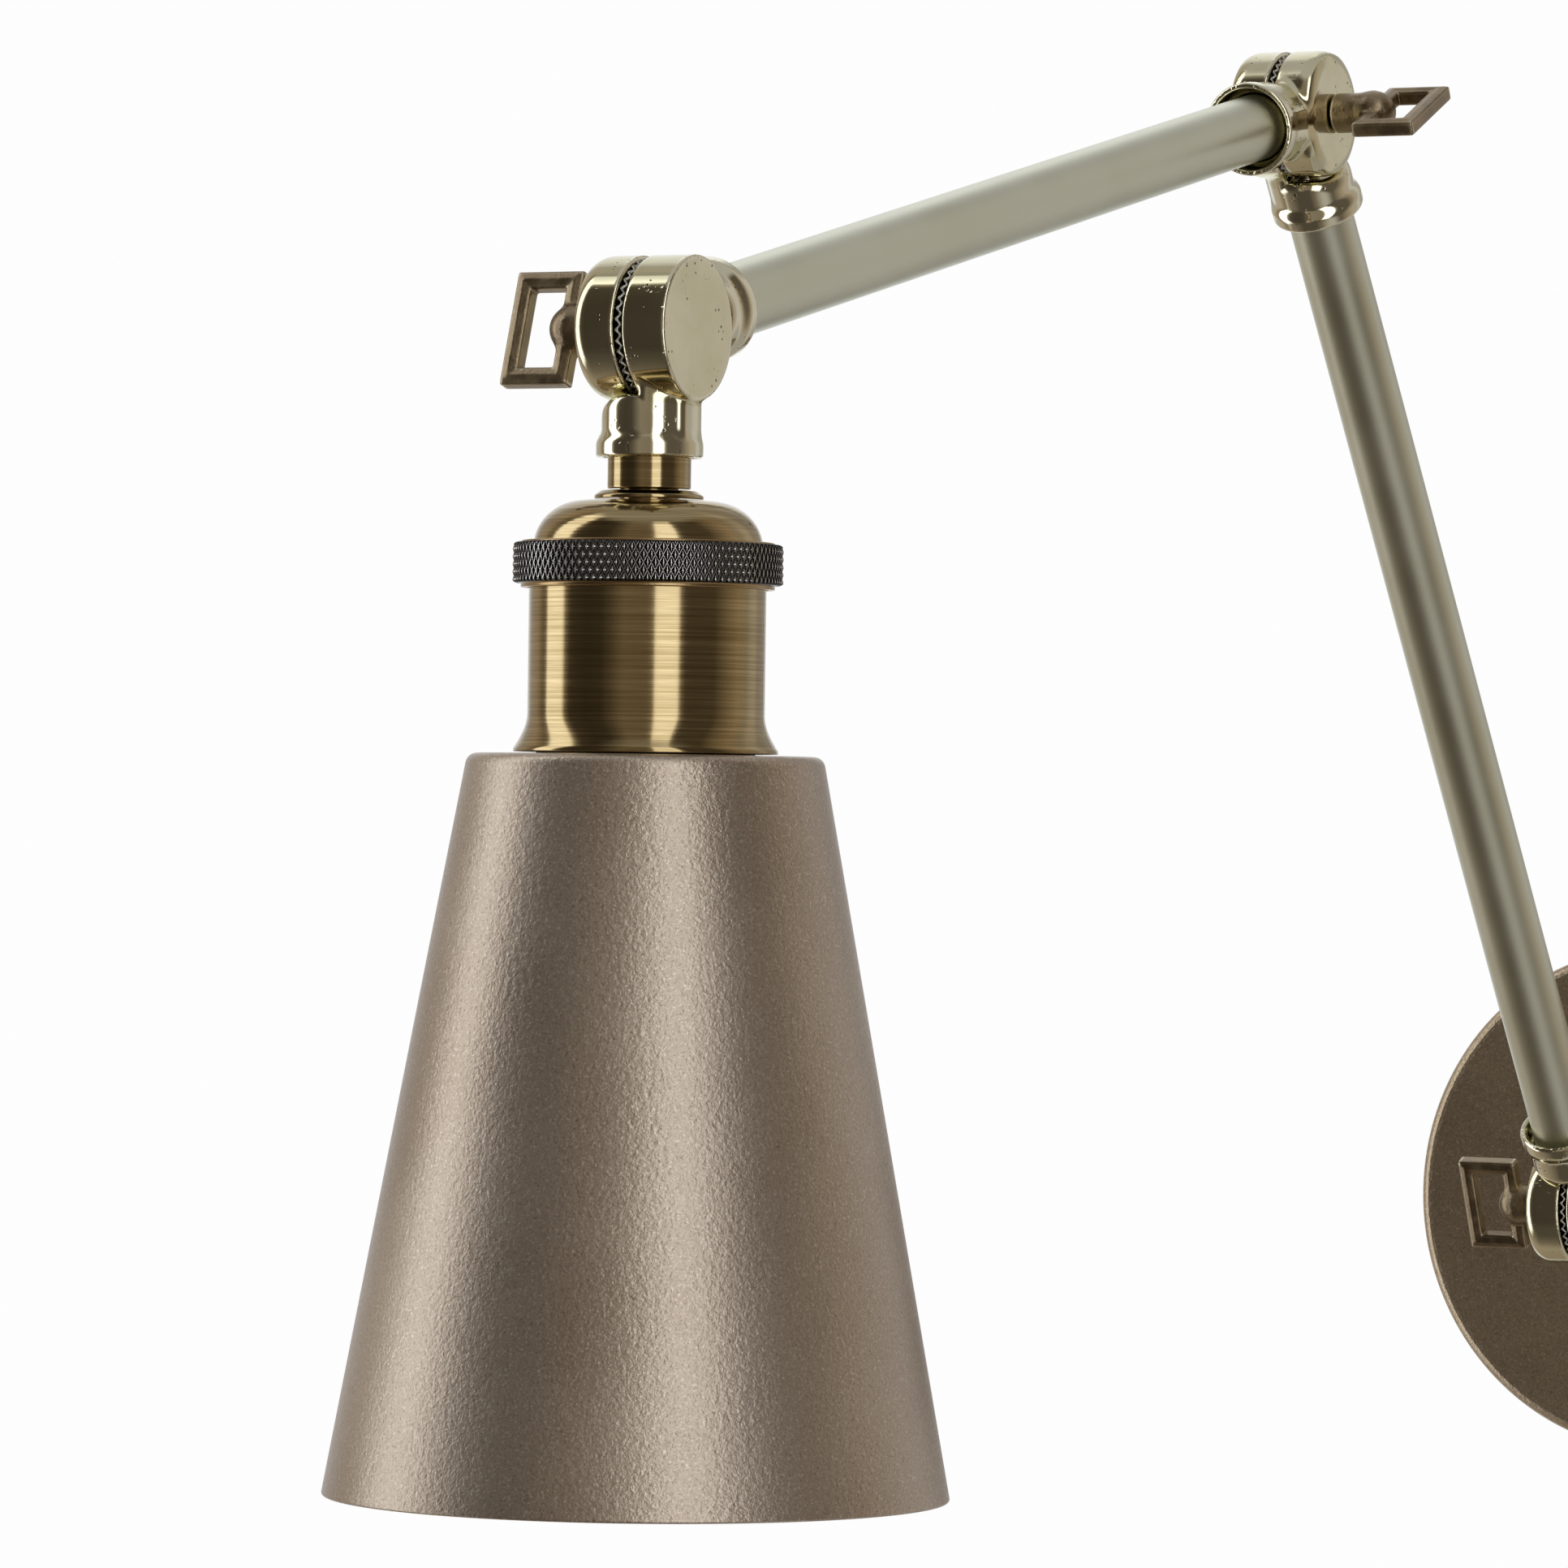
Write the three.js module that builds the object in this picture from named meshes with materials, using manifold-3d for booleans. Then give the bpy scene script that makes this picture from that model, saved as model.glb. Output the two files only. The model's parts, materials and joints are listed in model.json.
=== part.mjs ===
// Swing arm wall sconce with two arms, three lockable knuckles and a cone shade.
// Millimetres. The wall is the plane y = 0, the lamp reaches out towards -Y, and +Z is up.
// The origin is the middle of the backplate, on the wall. Every knuckle turns about an axis along X.
import * as THREE from 'three';
import { mergeVertices } from 'three/addons/utils/BufferGeometryUtils.js';
import Module from 'manifold-3d';

const wasm = await Module();
wasm.setup();

// ---- Driving dimensions ----
const gap = 0.3; // air left between pieces that touch
const plate = { radius: 55.3, depth: 23.5, wall: 1.5, edge: 3 };
const crossbar = { width: 20, endRoom: 5.8, thick: 2, wireHole: 7, slotRadius: 2.2, slotHalf: 4 };
const fixing = { fromEnd: 8, shank: 2, knob: 5.2, knobTall: 5.5, brim: 1 };
const earth = { fromFixing: 10, head: 4.5, headTall: 2.6, shank: 2 };
const slot = { fromFixing: 16 };
const connector = { across: 24, away: 11, low: -26, tall: 17, mouth: 5.4, tip: 3.2, slack: 1.4, brim: 2 };
const lead = { radius: 1.2, sag: 14, dip: 4 };
const stem = { reach: 63, fromWall: 11, washerOver: 5, washerThick: 1, nutOver: 4.5, nutThick: 5 };
const bush = { over: 4.5, thick: 5.5, neckOver: 2.1, round: 1.5 };
const tube = { radius: 6.5, wall: 1, seatOver: 1.8 }; // a tube starts seatOver past the rim of its knuckle
const wire = { radius: 2.2, clearance: 0.8 };
const lowerArm = { length: 272.5, rise: 54.3 }; // rise: degrees above the horizontal, out from the wall
const upperArm = { length: 270, rise: -12.25 };
const knuckle = { radius: 12.4, cover: 0.75, seam: 0.9, edge: 1.1, seamEdge: 0.3, webInset: 1, webHalf: 3.2 };
const collar = { wall: 1.75, lip: 0.85, tall: 9.6, lipTall: 2.4, lipEdge: 0.5, relief: 0.8, sweepOver: 0.15,
  root: 4 };
const mouth = { over: 1.8, footOver: 0.8, deep: 4 }; // the flared end of a collar, round its tube
const tooth = { inset: 0.4, count: 40, deep: 0.7 };
const screw = { radius: 2.4, cover: 2.8, clearance: 0.5, tipRoom: 0.8 };
const key = { loopLong: 20.6, loopWide: 13, bar: 3, thick: 3.6, stem: 3.9, stemLong: 5.1, boss: 4.2,
  bossIn: 0.9, elbowOut: 2.5 }; // the elbow's key stands elbowOut further out than the others
const keyTurn = { wall: 24, elbow: -65, head: -18 }; // degrees about X from an upright loop
const neck = { over: 0.6, bore: 3.5, show: 5.3, nipple: 5, nippleLong: 7.2 };
const flange = { thick: 1.4, over: 2.2, rim: 0.5 };
const cap = { under: 0.65, roundWide: 8.5, roundTall: 8, tall: 10.9, wall: 1 };
const capNut = { over: 2.3, thick: 2.6 };
const ring = { drop: 6.9, tall: 8, over: 2.85, lipIn: 1.4, topLip: 0.35, footLip: 0.75, flank: 0.4,
  slack: 0.35, topWall: 1.1 };
const shell = { radius: 20.15, straight: 24.9, flareTall: 6.1, flareOver: 2.35, foot: 0.5, wall: 1 };
const liner = { slack: 0.55, wall: 4.3, floor: 5, below: 7.9, contactHole: 3 };
const contactShell = { slack: 0.4, wall: 0.7, lift: 4, inset: 1.5, hole: 5.5 };
const contact = { radius: 3.6, thick: 2.4, rise: 1.2 };
const shade = { topOver: 10.05, tall: 125.8, bottomRadius: 53.3, wall: 1, round: 2, hem: 0.8 };
const shadeNut = { over: 5.9, thick: 4 };
const roundSteps = 24; // sides on a full turn
const wideSteps = 36; // the same on the backplate and shade
const smallSteps = 12;
const arcSteps = 2; // points on a rounded edge

// ---- Places worked out from them ----
const rad = THREE.MathUtils.degToRad;
const alongArm = (from, arm) => new THREE.Vector3(0,
  from.y - arm.length * Math.cos(rad(arm.rise)),
  from.z + arm.length * Math.sin(rad(arm.rise)));
const wallPivot = new THREE.Vector3(0, -stem.reach, 0);
const elbowPivot = alongArm(wallPivot, lowerArm);
const headPivot = alongArm(elbowPivot, upperArm);
const quarter = 90;
const turnFor = (rise) => rad(quarter - rise); // turn about X that lays local +Z at that rise
const tubeBore = tube.radius + gap;
const tubeSeat = knuckle.radius + tube.seatOver; // a tube starts this far from its pivot
const collarRadius = tube.radius + collar.wall;
const collarEnd = knuckle.radius + collar.tall;
const knuckleFace = collarRadius + knuckle.cover; // half the width of a whole knuckle
const crossbarHalf = plate.radius - plate.wall - crossbar.endRoom;
const fixingAt = crossbarHalf - fixing.fromEnd;
const earthAt = fixingAt - earth.fromFixing;
const slotAt = fixingAt - slot.fromFixing;

// Heights in the head are distances down from the head pivot, stacked piece on piece.
const neckRadius = tube.radius + neck.over;
const neckEnd = collarEnd + neck.show;
const flangeTop = neckEnd + gap;
const capTop = flangeTop + flange.thick + gap;
const capRadius = shell.radius - cap.under;
const skirtEnd = capTop + cap.tall;
const ringTop = capTop + ring.drop;
const ringRadius = shell.radius + ring.over;
const shellTop = skirtEnd + gap;
const flareEnd = shellTop + shell.straight + shell.flareTall;
const shellEnd = flareEnd + shell.foot;
const linerTop = shellTop + gap;
const linerRadius = shell.radius - shell.wall - liner.slack;
const linerBore = linerRadius - liner.wall;
const linerEnd = shellEnd + liner.below;
const shadeTop = shellEnd + gap;
const shadeEnd = shadeTop + shade.tall;
const shadeTopRadius = shell.radius + shade.topOver;

// ---- Materials ----
const paint = (color, roughness, metalness) => (
  new THREE.MeshStandardMaterial({ color, roughness, metalness }));
const bronzePaint = paint(0x948069, 0.42, 0.75);
const darkBronze = paint(0x5c4b3a, 0.5, 0.6);
const paleBrass = paint(0x9c967a, 0.4, 1);
const polishedBrass = paint(0xb0a888, 0.25, 1);
const castBrass = paint(0x7a6a52, 0.5, 1);
const brushedBrass = paint(0x8a6d42, 0.35, 1);
const blackKnurl = paint(0x2e2b29, 0.4, 1);
const zincSteel = paint(0xa8a8a4, 0.45, 1);
const copper = paint(0xb8733f, 0.35, 1);
const phenolic = paint(0x2a2624, 0.55, 0);
const greenPaint = paint(0x2f7a45, 0.5, 0.3);
const blackSleeve = paint(0x1c1c1c, 0.6, 0);
const whiteSleeve = paint(0xd8d6d0, 0.6, 0);
const orangeCap = paint(0xc96f2a, 0.5, 0);

// ---- Geometry helpers ----
const signedVolume = (geometry) => {
  const p = geometry.attributes.position;
  const index = geometry.index;
  const [a, b, c] = [new THREE.Vector3(), new THREE.Vector3(), new THREE.Vector3()];
  let sum = 0;
  for (let i = 0; i < index.count; i += 3) {
    a.fromBufferAttribute(p, index.getX(i));
    b.fromBufferAttribute(p, index.getX(i + 1));
    c.fromBufferAttribute(p, index.getX(i + 2));
    sum += a.dot(b.cross(c));
  }
  return sum;
};

// One closed mesh: shared corners merged, flat triangles dropped, faces turned outwards.
const closed = (source) => {
  const bare = source.clone();
  bare.deleteAttribute('normal');
  bare.deleteAttribute('uv');
  const geometry = mergeVertices(bare);
  const kept = [];
  const index = geometry.index.array;
  for (let i = 0; i < index.length; i += 3) {
    const [a, b, c] = index.slice(i, i + 3);
    if (a !== b && b !== c && c !== a) kept.push(a, b, c);
  }
  geometry.setIndex(kept);
  if (signedVolume(geometry) < 0) geometry.setIndex(kept.reverse());
  return geometry;
};

const toSolid = (geometry) => {
  const mesh = closed(geometry);
  return new wasm.Manifold(new wasm.Mesh({
    numProp: 3,
    vertProperties: new Float32Array(mesh.attributes.position.array),
    triVerts: new Uint32Array(mesh.index.array),
  }));
};

const fromSolid = (solid) => {
  const { vertProperties, triVerts } = solid.getMesh();
  const geometry = new THREE.BufferGeometry();
  geometry.setAttribute('position', new THREE.BufferAttribute(new Float32Array(vertProperties), 3));
  geometry.setIndex(Array.from(triVerts));
  return geometry;
};

const join = (...shapes) => fromSolid(shapes.map(toSolid).reduce((a, b) => a.add(b)));
const cut = (shape, ...tools) => (
  fromSolid(tools.map(toSolid).reduce((a, b) => a.subtract(b), toSolid(shape))));

// Points on a quarter circle between two directions, for a rounded edge in a turned profile.
const arc = (r, z, radius, from, to, steps = arcSteps) => Array.from({ length: steps + 1 }, (_, i) => {
  const t = rad(from + (to - from) * i / steps);
  return [r + radius * Math.cos(t), z + radius * Math.sin(t)];
});

// A profile of [radius, height] points turned about Z.
const turned = (profile, steps = roundSteps) => {
  const points = profile.map(([r, z]) => new THREE.Vector2(Math.max(r, 0), z));
  return closed(new THREE.LatheGeometry(points, steps).rotateX(Math.PI / 2));
};
const tubular = (profile, steps) => turned([...profile, profile[0]], steps);
const rod = (radius, from, to, steps = smallSteps) => (
  turned([[0, from], [radius, from], [radius, to], [0, to]], steps));
const pipe = (outer, inner, from, to, steps) => (
  tubular([[inner, from], [outer, from], [outer, to], [inner, to]], steps));
const hexNut = (across, bore, from, to) => cut(rod(across, from, to, 6), rod(bore, from - 1, to + 1));
const toX = (geometry) => geometry.rotateY(Math.PI / 2);
const toY = (geometry) => geometry.rotateX(-Math.PI / 2);
const block = (x, y, z, at = [0, 0, 0]) => new THREE.BoxGeometry(x, y, z).translate(...at);

const lamp = new THREE.Group();
const add = (parent, name, geometry, material) => {
  const mesh = new THREE.Mesh(geometry, material);
  mesh.name = name;
  parent.add(mesh);
  return mesh;
};
const pivotGroup = (position, turn) => {
  const group = new THREE.Group();
  group.position.copy(position);
  group.rotation.x = turn;
  lamp.add(group);
  return group;
};

// ---- Wall side: backplate, crossbar, fixings and connectors ----
// These are turned about Y: a profile's height is the distance out from the wall.
const outward = (geometry) => geometry.rotateX(Math.PI / 2);

const backplateShape = () => {
  const { radius, depth, wall, edge } = plate;
  const outer = [[radius, 0], ...arc(radius - edge, depth - edge, edge, 0, quarter)];
  const inner = arc(radius - edge, depth - edge, edge - wall, quarter, 0);
  const stemHole = [[tubeBore, depth], [tubeBore, depth - wall]];
  const dish = tubular([...outer, ...stemHole, ...inner, [radius - wall, 0]], wideSteps);
  const holes = [-1, 1].map((side) => rod(fixing.shank + gap, depth - 2 * wall, depth + wall)
    .translate(0, side * fixingAt, 0));
  return outward(cut(dish, ...holes));
};

const crossbarShape = () => {
  const { width, thick, wireHole, slotRadius, slotHalf } = crossbar;
  const bar = block(width, 2 * crossbarHalf, thick, [0, 0, thick / 2]);
  const through = (radius, x, y) => rod(radius, -thick, 2 * thick).translate(x, y, 0);
  const slotCut = (side) => join(
    through(slotRadius, -slotHalf, side * slotAt),
    through(slotRadius, slotHalf, side * slotAt),
    block(2 * slotHalf, 2 * slotRadius, 3 * thick, [0, side * slotAt, 0]),
  );
  const screwHoles = [-1, 1].map((side) => through(fixing.shank + gap, 0, side * fixingAt));
  const earthHole = through(earth.shank + gap, 0, -earthAt);
  return outward(cut(bar, through(wireHole, 0, 0), slotCut(-1), slotCut(1), earthHole, ...screwHoles));
};

const fixingShape = () => {
  const { shank, knob, knobTall, brim } = fixing;
  const seat = plate.depth + gap;
  const dome = arc(0, 0, 1, 0, quarter).map(([r, z]) => [r * knob, seat + brim + z * (knobTall - brim)]);
  return outward(turned([[0, gap], [shank, gap], [shank, seat], [knob, seat], ...dome]));
};

const earthShape = () => {
  const { head, headTall, shank } = earth;
  const seat = crossbar.thick + gap;
  return outward(join(rod(head, seat, seat + headTall, 6), rod(shank, gap, seat + 1)));
};

const connectorShape = () => {
  const { tall, mouth, tip, slack, brim } = connector;
  const bore = lead.radius + slack;
  return turned([[0, 0], [tip, 0], [mouth, tall - brim], [mouth, tall],
    [bore, tall], [bore, tall / 2], [0, tall / 2]], smallSteps);
};

// A lead leaves its connector, rises in a bow and ends beside the mouth of the stem.
const leadShape = (side) => {
  const { across, away, low, tall } = connector;
  const foot = new THREE.Vector3(side * across, -away, low + tall / 2 + gap);
  const crown = new THREE.Vector3(side * across, -away, lead.sag);
  const into = new THREE.Vector3(side * 2 * lead.radius, -away + lead.dip, lead.sag);
  const end = new THREE.Vector3(side * 2 * lead.radius, -stem.fromWall + 1 + gap, 0);
  const path = new THREE.CubicBezierCurve3(foot, crown, into, end);
  const circle = new THREE.Shape().absarc(0, 0, lead.radius, 0, 2 * Math.PI);
  return closed(new THREE.ExtrudeGeometry(circle, { steps: 12, curveSegments: 5, extrudePath: path }));
};

add(lamp, 'backplate', backplateShape(), darkBronze);
add(lamp, 'crossbar', crossbarShape(), zincSteel);
add(lamp, 'fixing_knob_top', fixingShape(), polishedBrass).position.z = fixingAt;
add(lamp, 'fixing_knob_bottom', fixingShape(), polishedBrass).position.z = -fixingAt;
add(lamp, 'earth_screw', earthShape(), greenPaint).position.z = -earthAt;
[['live', 1, blackSleeve], ['neutral', -1, whiteSleeve]].forEach(([name, side, sleeve]) => {
  const twist = add(lamp, `connector_${name}`, connectorShape(), orangeCap);
  twist.position.set(side * connector.across, -connector.away, connector.low);
  add(lamp, `lead_${name}`, leadShape(side), sleeve);
});

const bushShape = () => {
  const { over, thick, neckOver, round } = bush;
  const face = plate.depth + gap;
  const radius = tube.radius + over;
  const shoulder = arc(radius - round, face + round, round, 0, 60);
  return outward(tubular([[tubeBore, face], [radius, face], ...shoulder,
    [tube.radius + neckOver, face + thick], [tubeBore, face + thick]]));
};
add(lamp, 'stem_bush', bushShape(), paleBrass);

// ---- Knuckle halves, star washers and keys ----
// A half turns about X and its collar runs along +Z. side is -1 or +1 along X. A blind half takes
// the screw's thread, and the other half is bored through for its shank.
const knuckleHalf = (side, blind, seatBore) => {
  const { radius, seam, edge, seamEdge, webInset, webHalf } = knuckle;
  const { lip, lipTall, lipEdge, relief, sweepOver, root } = collar;
  const lipRadius = collarRadius + lip;
  const web = knuckleFace - webInset;
  const disc = toX(turned([[0, seam], [radius - seamEdge, seam], [radius, seam + seamEdge],
    ...arc(radius - edge, knuckleFace - edge, edge, 0, quarter), [0, knuckleFace]]));
  const sleeve = turned([[0, root], [collarRadius, root], [collarRadius, collarEnd - lipTall - lip],
    [lipRadius, collarEnd - lipTall + lip / 2], [lipRadius, collarEnd - lipEdge],
    [lipRadius - lipEdge, collarEnd], [0, collarEnd]]);
  const cheek = block(web - seam, 2 * webHalf, radius, [(web + seam) / 2, 0, radius]);
  const sweep = toX(rod(radius + relief, -2 * knuckleFace, seam + sweepOver, roundSteps));
  const reach = blind ? knuckleFace - screw.cover : knuckleFace + 1;
  const thread = toX(rod(screw.radius + (blind ? gap : screw.clearance), -1, reach));
  const seat = rod(seatBore, tubeSeat - gap, collarEnd + 1, roundSteps);
  const flare = turned([[0, collarEnd - mouth.deep], [tube.radius + mouth.footOver, collarEnd - mouth.deep],
    [tube.radius + mouth.over, collarEnd], [tube.radius + mouth.over, collarEnd + 1], [0, collarEnd + 1]]);
  const wireWay = rod(wire.radius + wire.clearance, 0, tubeSeat + 1);
  const body = join(disc, cut(join(sleeve, cheek), sweep));
  const shape = cut(body, thread, seat, flare, wireWay);
  return side < 0 ? closed(shape.scale(-1, 1, 1)) : shape;
};

const starWasher = () => {
  const thick = 2 * (knuckle.seam - gap);
  const outline = new THREE.Shape(Array.from({ length: 2 * tooth.count }, (_, i) => {
    const t = Math.PI * i / tooth.count;
    const r = knuckle.radius - tooth.inset - (i % 2) * tooth.deep;
    return new THREE.Vector2(r * Math.cos(t), r * Math.sin(t));
  }));
  outline.holes.push(new THREE.Path().absarc(0, 0, screw.radius + screw.clearance, 0, 2 * Math.PI, true));
  const options = { depth: thick, bevelEnabled: false, curveSegments: 4 };
  return toX(closed(new THREE.ExtrudeGeometry(outline, options)).translate(0, 0, -thick / 2));
};

// The loop stands in the XZ plane, long side along Z, outside the half on that side.
const keyShape = (side, stemLong) => {
  const { loopLong, loopWide, bar, thick, stem: stemRadius, boss, bossIn } = key;
  const face = knuckleFace + gap;
  const start = knuckleFace + stemLong;
  const rectangle = (path, x0, x1, z) => path.moveTo(x0, -z).lineTo(x1, -z).lineTo(x1, z).lineTo(x0, z)
    .lineTo(x0, -z);
  const frame = rectangle(new THREE.Shape(), start, start + loopWide, loopLong / 2);
  frame.holes.push(rectangle(new THREE.Path(), start + bar, start + loopWide - bar, loopLong / 2 - bar));
  const loop = closed(new THREE.ExtrudeGeometry(frame, { depth: thick, bevelEnabled: false }))
    .translate(0, 0, -thick / 2).rotateX(Math.PI / 2);
  const ball = closed(new THREE.SphereGeometry(boss, smallSteps, 10)).translate(start + bossIn, 0, 0);
  const post = toX(rod(stemRadius, face, start + bossIn));
  const shank = toX(rod(screw.radius, screw.cover + screw.tipRoom - knuckleFace, face + 1));
  const shape = join(loop, ball, post, shank);
  return side < 0 ? closed(shape.scale(-1, 1, 1)) : shape;
};

const addKey = (name, pivot, side, turn, stemLong = key.stemLong) => {
  add(pivotGroup(pivot, rad(turn)), name, keyShape(side, stemLong), castBrass);
};

// ---- Stem: swivels in the backplate, its local +Z points at the wall ----
const stemGroup = pivotGroup(wallPivot, turnFor(2 * quarter));
const plateFrontAt = stem.reach - plate.depth;
const innerFaceAt = plateFrontAt + plate.wall;
const stemEnd = stem.reach - stem.fromWall;
const washerAt = innerFaceAt + gap;
const nutAt = washerAt + stem.washerThick + gap;
add(stemGroup, 'wall_knuckle_fixed', knuckleHalf(-1, false, tubeBore), polishedBrass);
const stemPipe = pipe(tube.radius, tube.radius - tube.wall, tubeSeat, stemEnd);
const washerRadius = tube.radius + stem.washerOver;
const nutRadius = tube.radius + stem.nutOver;
add(stemGroup, 'stem_tube', stemPipe, paleBrass);
add(stemGroup, 'stem_washer', pipe(washerRadius, tubeBore, washerAt, washerAt + stem.washerThick), zincSteel);
add(stemGroup, 'stem_nut', hexNut(nutRadius, tubeBore, nutAt, nutAt + stem.nutThick), zincSteel);
add(stemGroup, 'stem_cable', rod(wire.radius, tubeSeat + 1, stemEnd - gap), blackSleeve);

// ---- Arms: local +Z runs from the inner pivot to the outer one ----
const armPieces = (group, arm, name, near, far) => {
  add(group, near.name, knuckleHalf(near.side, near.blind, tubeBore), polishedBrass);
  const end = add(group, far.name, knuckleHalf(far.side, far.blind, tubeBore), polishedBrass);
  end.position.z = arm.length;
  end.rotation.x = Math.PI;
  const bore = tube.radius - tube.wall;
  add(group, `${name}_tube`, pipe(tube.radius, bore, tubeSeat, arm.length - tubeSeat), paleBrass);
  add(group, `${name}_cable`, rod(wire.radius, tubeSeat + 1, arm.length - tubeSeat - 1), blackSleeve);
};

const lowerGroup = pivotGroup(wallPivot, turnFor(lowerArm.rise));
armPieces(lowerGroup, lowerArm, 'lower_arm',
  { name: 'wall_knuckle_arm', side: 1, blind: true },
  { name: 'elbow_knuckle_lower', side: -1, blind: true });
add(lowerGroup, 'wall_star_washer', starWasher(), zincSteel);
add(lowerGroup, 'elbow_star_washer', starWasher(), zincSteel).position.z = lowerArm.length;

const upperGroup = pivotGroup(elbowPivot, turnFor(upperArm.rise));
armPieces(upperGroup, upperArm, 'upper_arm',
  { name: 'elbow_knuckle_upper', side: 1, blind: false },
  { name: 'head_knuckle_arm', side: -1, blind: false });

addKey('wall_key', wallPivot, -1, keyTurn.wall);
addKey('elbow_key', elbowPivot, 1, keyTurn.elbow, key.stemLong + key.elbowOut);
addKey('head_key', headPivot, -1, keyTurn.head);

// ---- Head: local +Z is the distance down from the head pivot ----
const headGroup = pivotGroup(headPivot, turnFor(-quarter));
const nippleHole = neck.nipple + gap;

const neckShape = () => {
  const nippleEnd = neckEnd + neck.nippleLong;
  return tubular([[neck.bore, tubeSeat], [neckRadius, tubeSeat], [neckRadius, neckEnd],
    [neck.nipple, neckEnd], [neck.nipple, nippleEnd], [neck.bore, nippleEnd]]);
};

const flangeShape = () => {
  const radius = neckRadius + flange.over;
  const foot = flangeTop + flange.thick;
  return tubular([[nippleHole, flangeTop], [radius - flange.rim, flangeTop],
    [radius, flangeTop + flange.rim], [radius, foot], [nippleHole, foot]]);
};

// A domed cap: flat crown, quarter-ellipse shoulder, straight skirt inside the clamp ring.
const capShape = () => {
  const { roundWide, roundTall, wall } = cap;
  const crown = capRadius - roundWide;
  const dome = (shift) => arc(0, 0, 1, -quarter, 0, 6).map(([across, down]) => [
    crown - shift / 2 + (roundWide - shift / 2) * across, capTop + roundTall + (roundTall - shift) * down]);
  return tubular([[nippleHole, capTop], ...dome(0), [capRadius, skirtEnd], [capRadius - wall, skirtEnd],
    ...dome(wall).reverse(), [nippleHole, capTop + wall]]);
};

const ringShape = () => {
  const { tall, lipIn, topLip, footLip, flank, slack, topWall } = ring;
  const foot = ringTop + tall;
  const lip = ringRadius - lipIn;
  const inner = shell.radius + slack;
  return tubular([[capRadius + gap, ringTop], [lip, ringTop], [lip, ringTop + topLip],
    [ringRadius, ringTop + topLip + flank], [ringRadius, foot - footLip - flank], [lip, foot - footLip],
    [lip, foot], [inner, foot], [inner, ringTop + topWall], [capRadius + gap, ringTop + topWall]]);
};

// The shell is straight, then flares out in a quarter-sine curve to sit on the shade.
const shellShape = () => {
  const { radius, flareTall, flareOver, wall } = shell;
  const flareAt = flareEnd - flareTall;
  const steps = 5;
  const curve = (shift) => Array.from({ length: steps + 1 }, (_, i) => {
    const share = i / steps;
    return [radius - shift + flareOver * (1 - Math.cos(share * Math.PI / 2)), flareAt + share * flareTall];
  });
  const flare = radius + flareOver;
  return tubular([[radius, shellTop], ...curve(0), [flare, shellEnd], [flare - wall, shellEnd],
    ...curve(wall).reverse(), [radius - wall, shellTop]]);
};

const linerShape = () => {
  const { floor, contactHole } = liner;
  return tubular([[contactHole, linerTop], [linerRadius, linerTop], [linerRadius, linerEnd],
    [linerBore, linerEnd], [linerBore, linerTop + floor], [contactHole, linerTop + floor]]);
};

const contactShellShape = () => {
  const { slack, wall, lift, inset, hole } = contactShell;
  const radius = linerBore - slack;
  const top = linerTop + liner.floor + lift;
  const end = linerEnd - inset;
  return tubular([[hole, top], [radius, top], [radius, end], [radius - wall, end],
    [radius - wall, top + wall], [hole, top + wall]]);
};

const contactShape = () => {
  const { radius, thick, rise } = contact;
  const at = linerTop + liner.floor + gap;
  const button = arc(radius - rise, at + thick - rise, rise, 0, quarter);
  return turned([[0, at], [radius, at], ...button, [0, at + thick]], smallSteps);
};

// An open cone with a flat top: the wall keeps one thickness, and its hem is rounded over.
const shadeShape = () => {
  const { bottomRadius, wall, round, hem } = shade;
  const slope = Math.atan2(bottomRadius - shadeTopRadius, shade.tall);
  const inside = wall / Math.cos(slope);
  const lean = THREE.MathUtils.radToDeg(slope);
  const corner = shadeTopRadius - round * Math.tan(rad(quarter / 2 + lean / 2)) * Math.cos(slope);
  const outer = arc(corner, shadeTop + round, round, -quarter, -lean);
  const inner = arc(corner, shadeTop + round, round - wall, -lean, -quarter);
  const hole = linerRadius + gap;
  const rim = [[bottomRadius - hem / 4, shadeEnd - hem], [bottomRadius, shadeEnd],
    [bottomRadius - inside, shadeEnd]];
  return tubular([[hole, shadeTop], ...outer, ...rim, ...inner, [hole, shadeTop + wall]], wideSteps);
};

const capNutAt = capTop + cap.wall + gap;
const capNutShape = hexNut(neck.nipple + gap + capNut.over, nippleHole, capNutAt, capNutAt + capNut.thick);
const shadeNutAt = shadeTop + shade.wall + gap;
const shadeNutRadius = linerRadius + shadeNut.over;
const shadeNutShape = pipe(shadeNutRadius, linerRadius + gap, shadeNutAt, shadeNutAt + shadeNut.thick);
add(headGroup, 'head_knuckle_socket', knuckleHalf(1, true, neckRadius + gap), polishedBrass);
add(headGroup, 'head_star_washer', starWasher(), zincSteel);
add(headGroup, 'socket_neck', neckShape(), brushedBrass);
add(headGroup, 'neck_flange', flangeShape(), brushedBrass);
add(headGroup, 'socket_cap', capShape(), brushedBrass);
add(headGroup, 'cap_nut', capNutShape, zincSteel);
add(headGroup, 'clamp_ring', ringShape(), blackKnurl);
add(headGroup, 'socket_shell', shellShape(), brushedBrass);
add(headGroup, 'socket_liner', linerShape(), phenolic);
add(headGroup, 'contact_shell', contactShellShape(), copper);
add(headGroup, 'centre_contact', contactShape(), copper);
add(headGroup, 'head_cable', rod(wire.radius, tubeSeat + 1, linerTop - gap), blackSleeve);
add(headGroup, 'shade_nut', shadeNutShape, phenolic);
add(headGroup, 'shade', shadeShape(), bronzePaint);

export default lamp;
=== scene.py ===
import json
import math

import bpy
import numpy as np
from mathutils import Matrix, Vector


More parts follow.
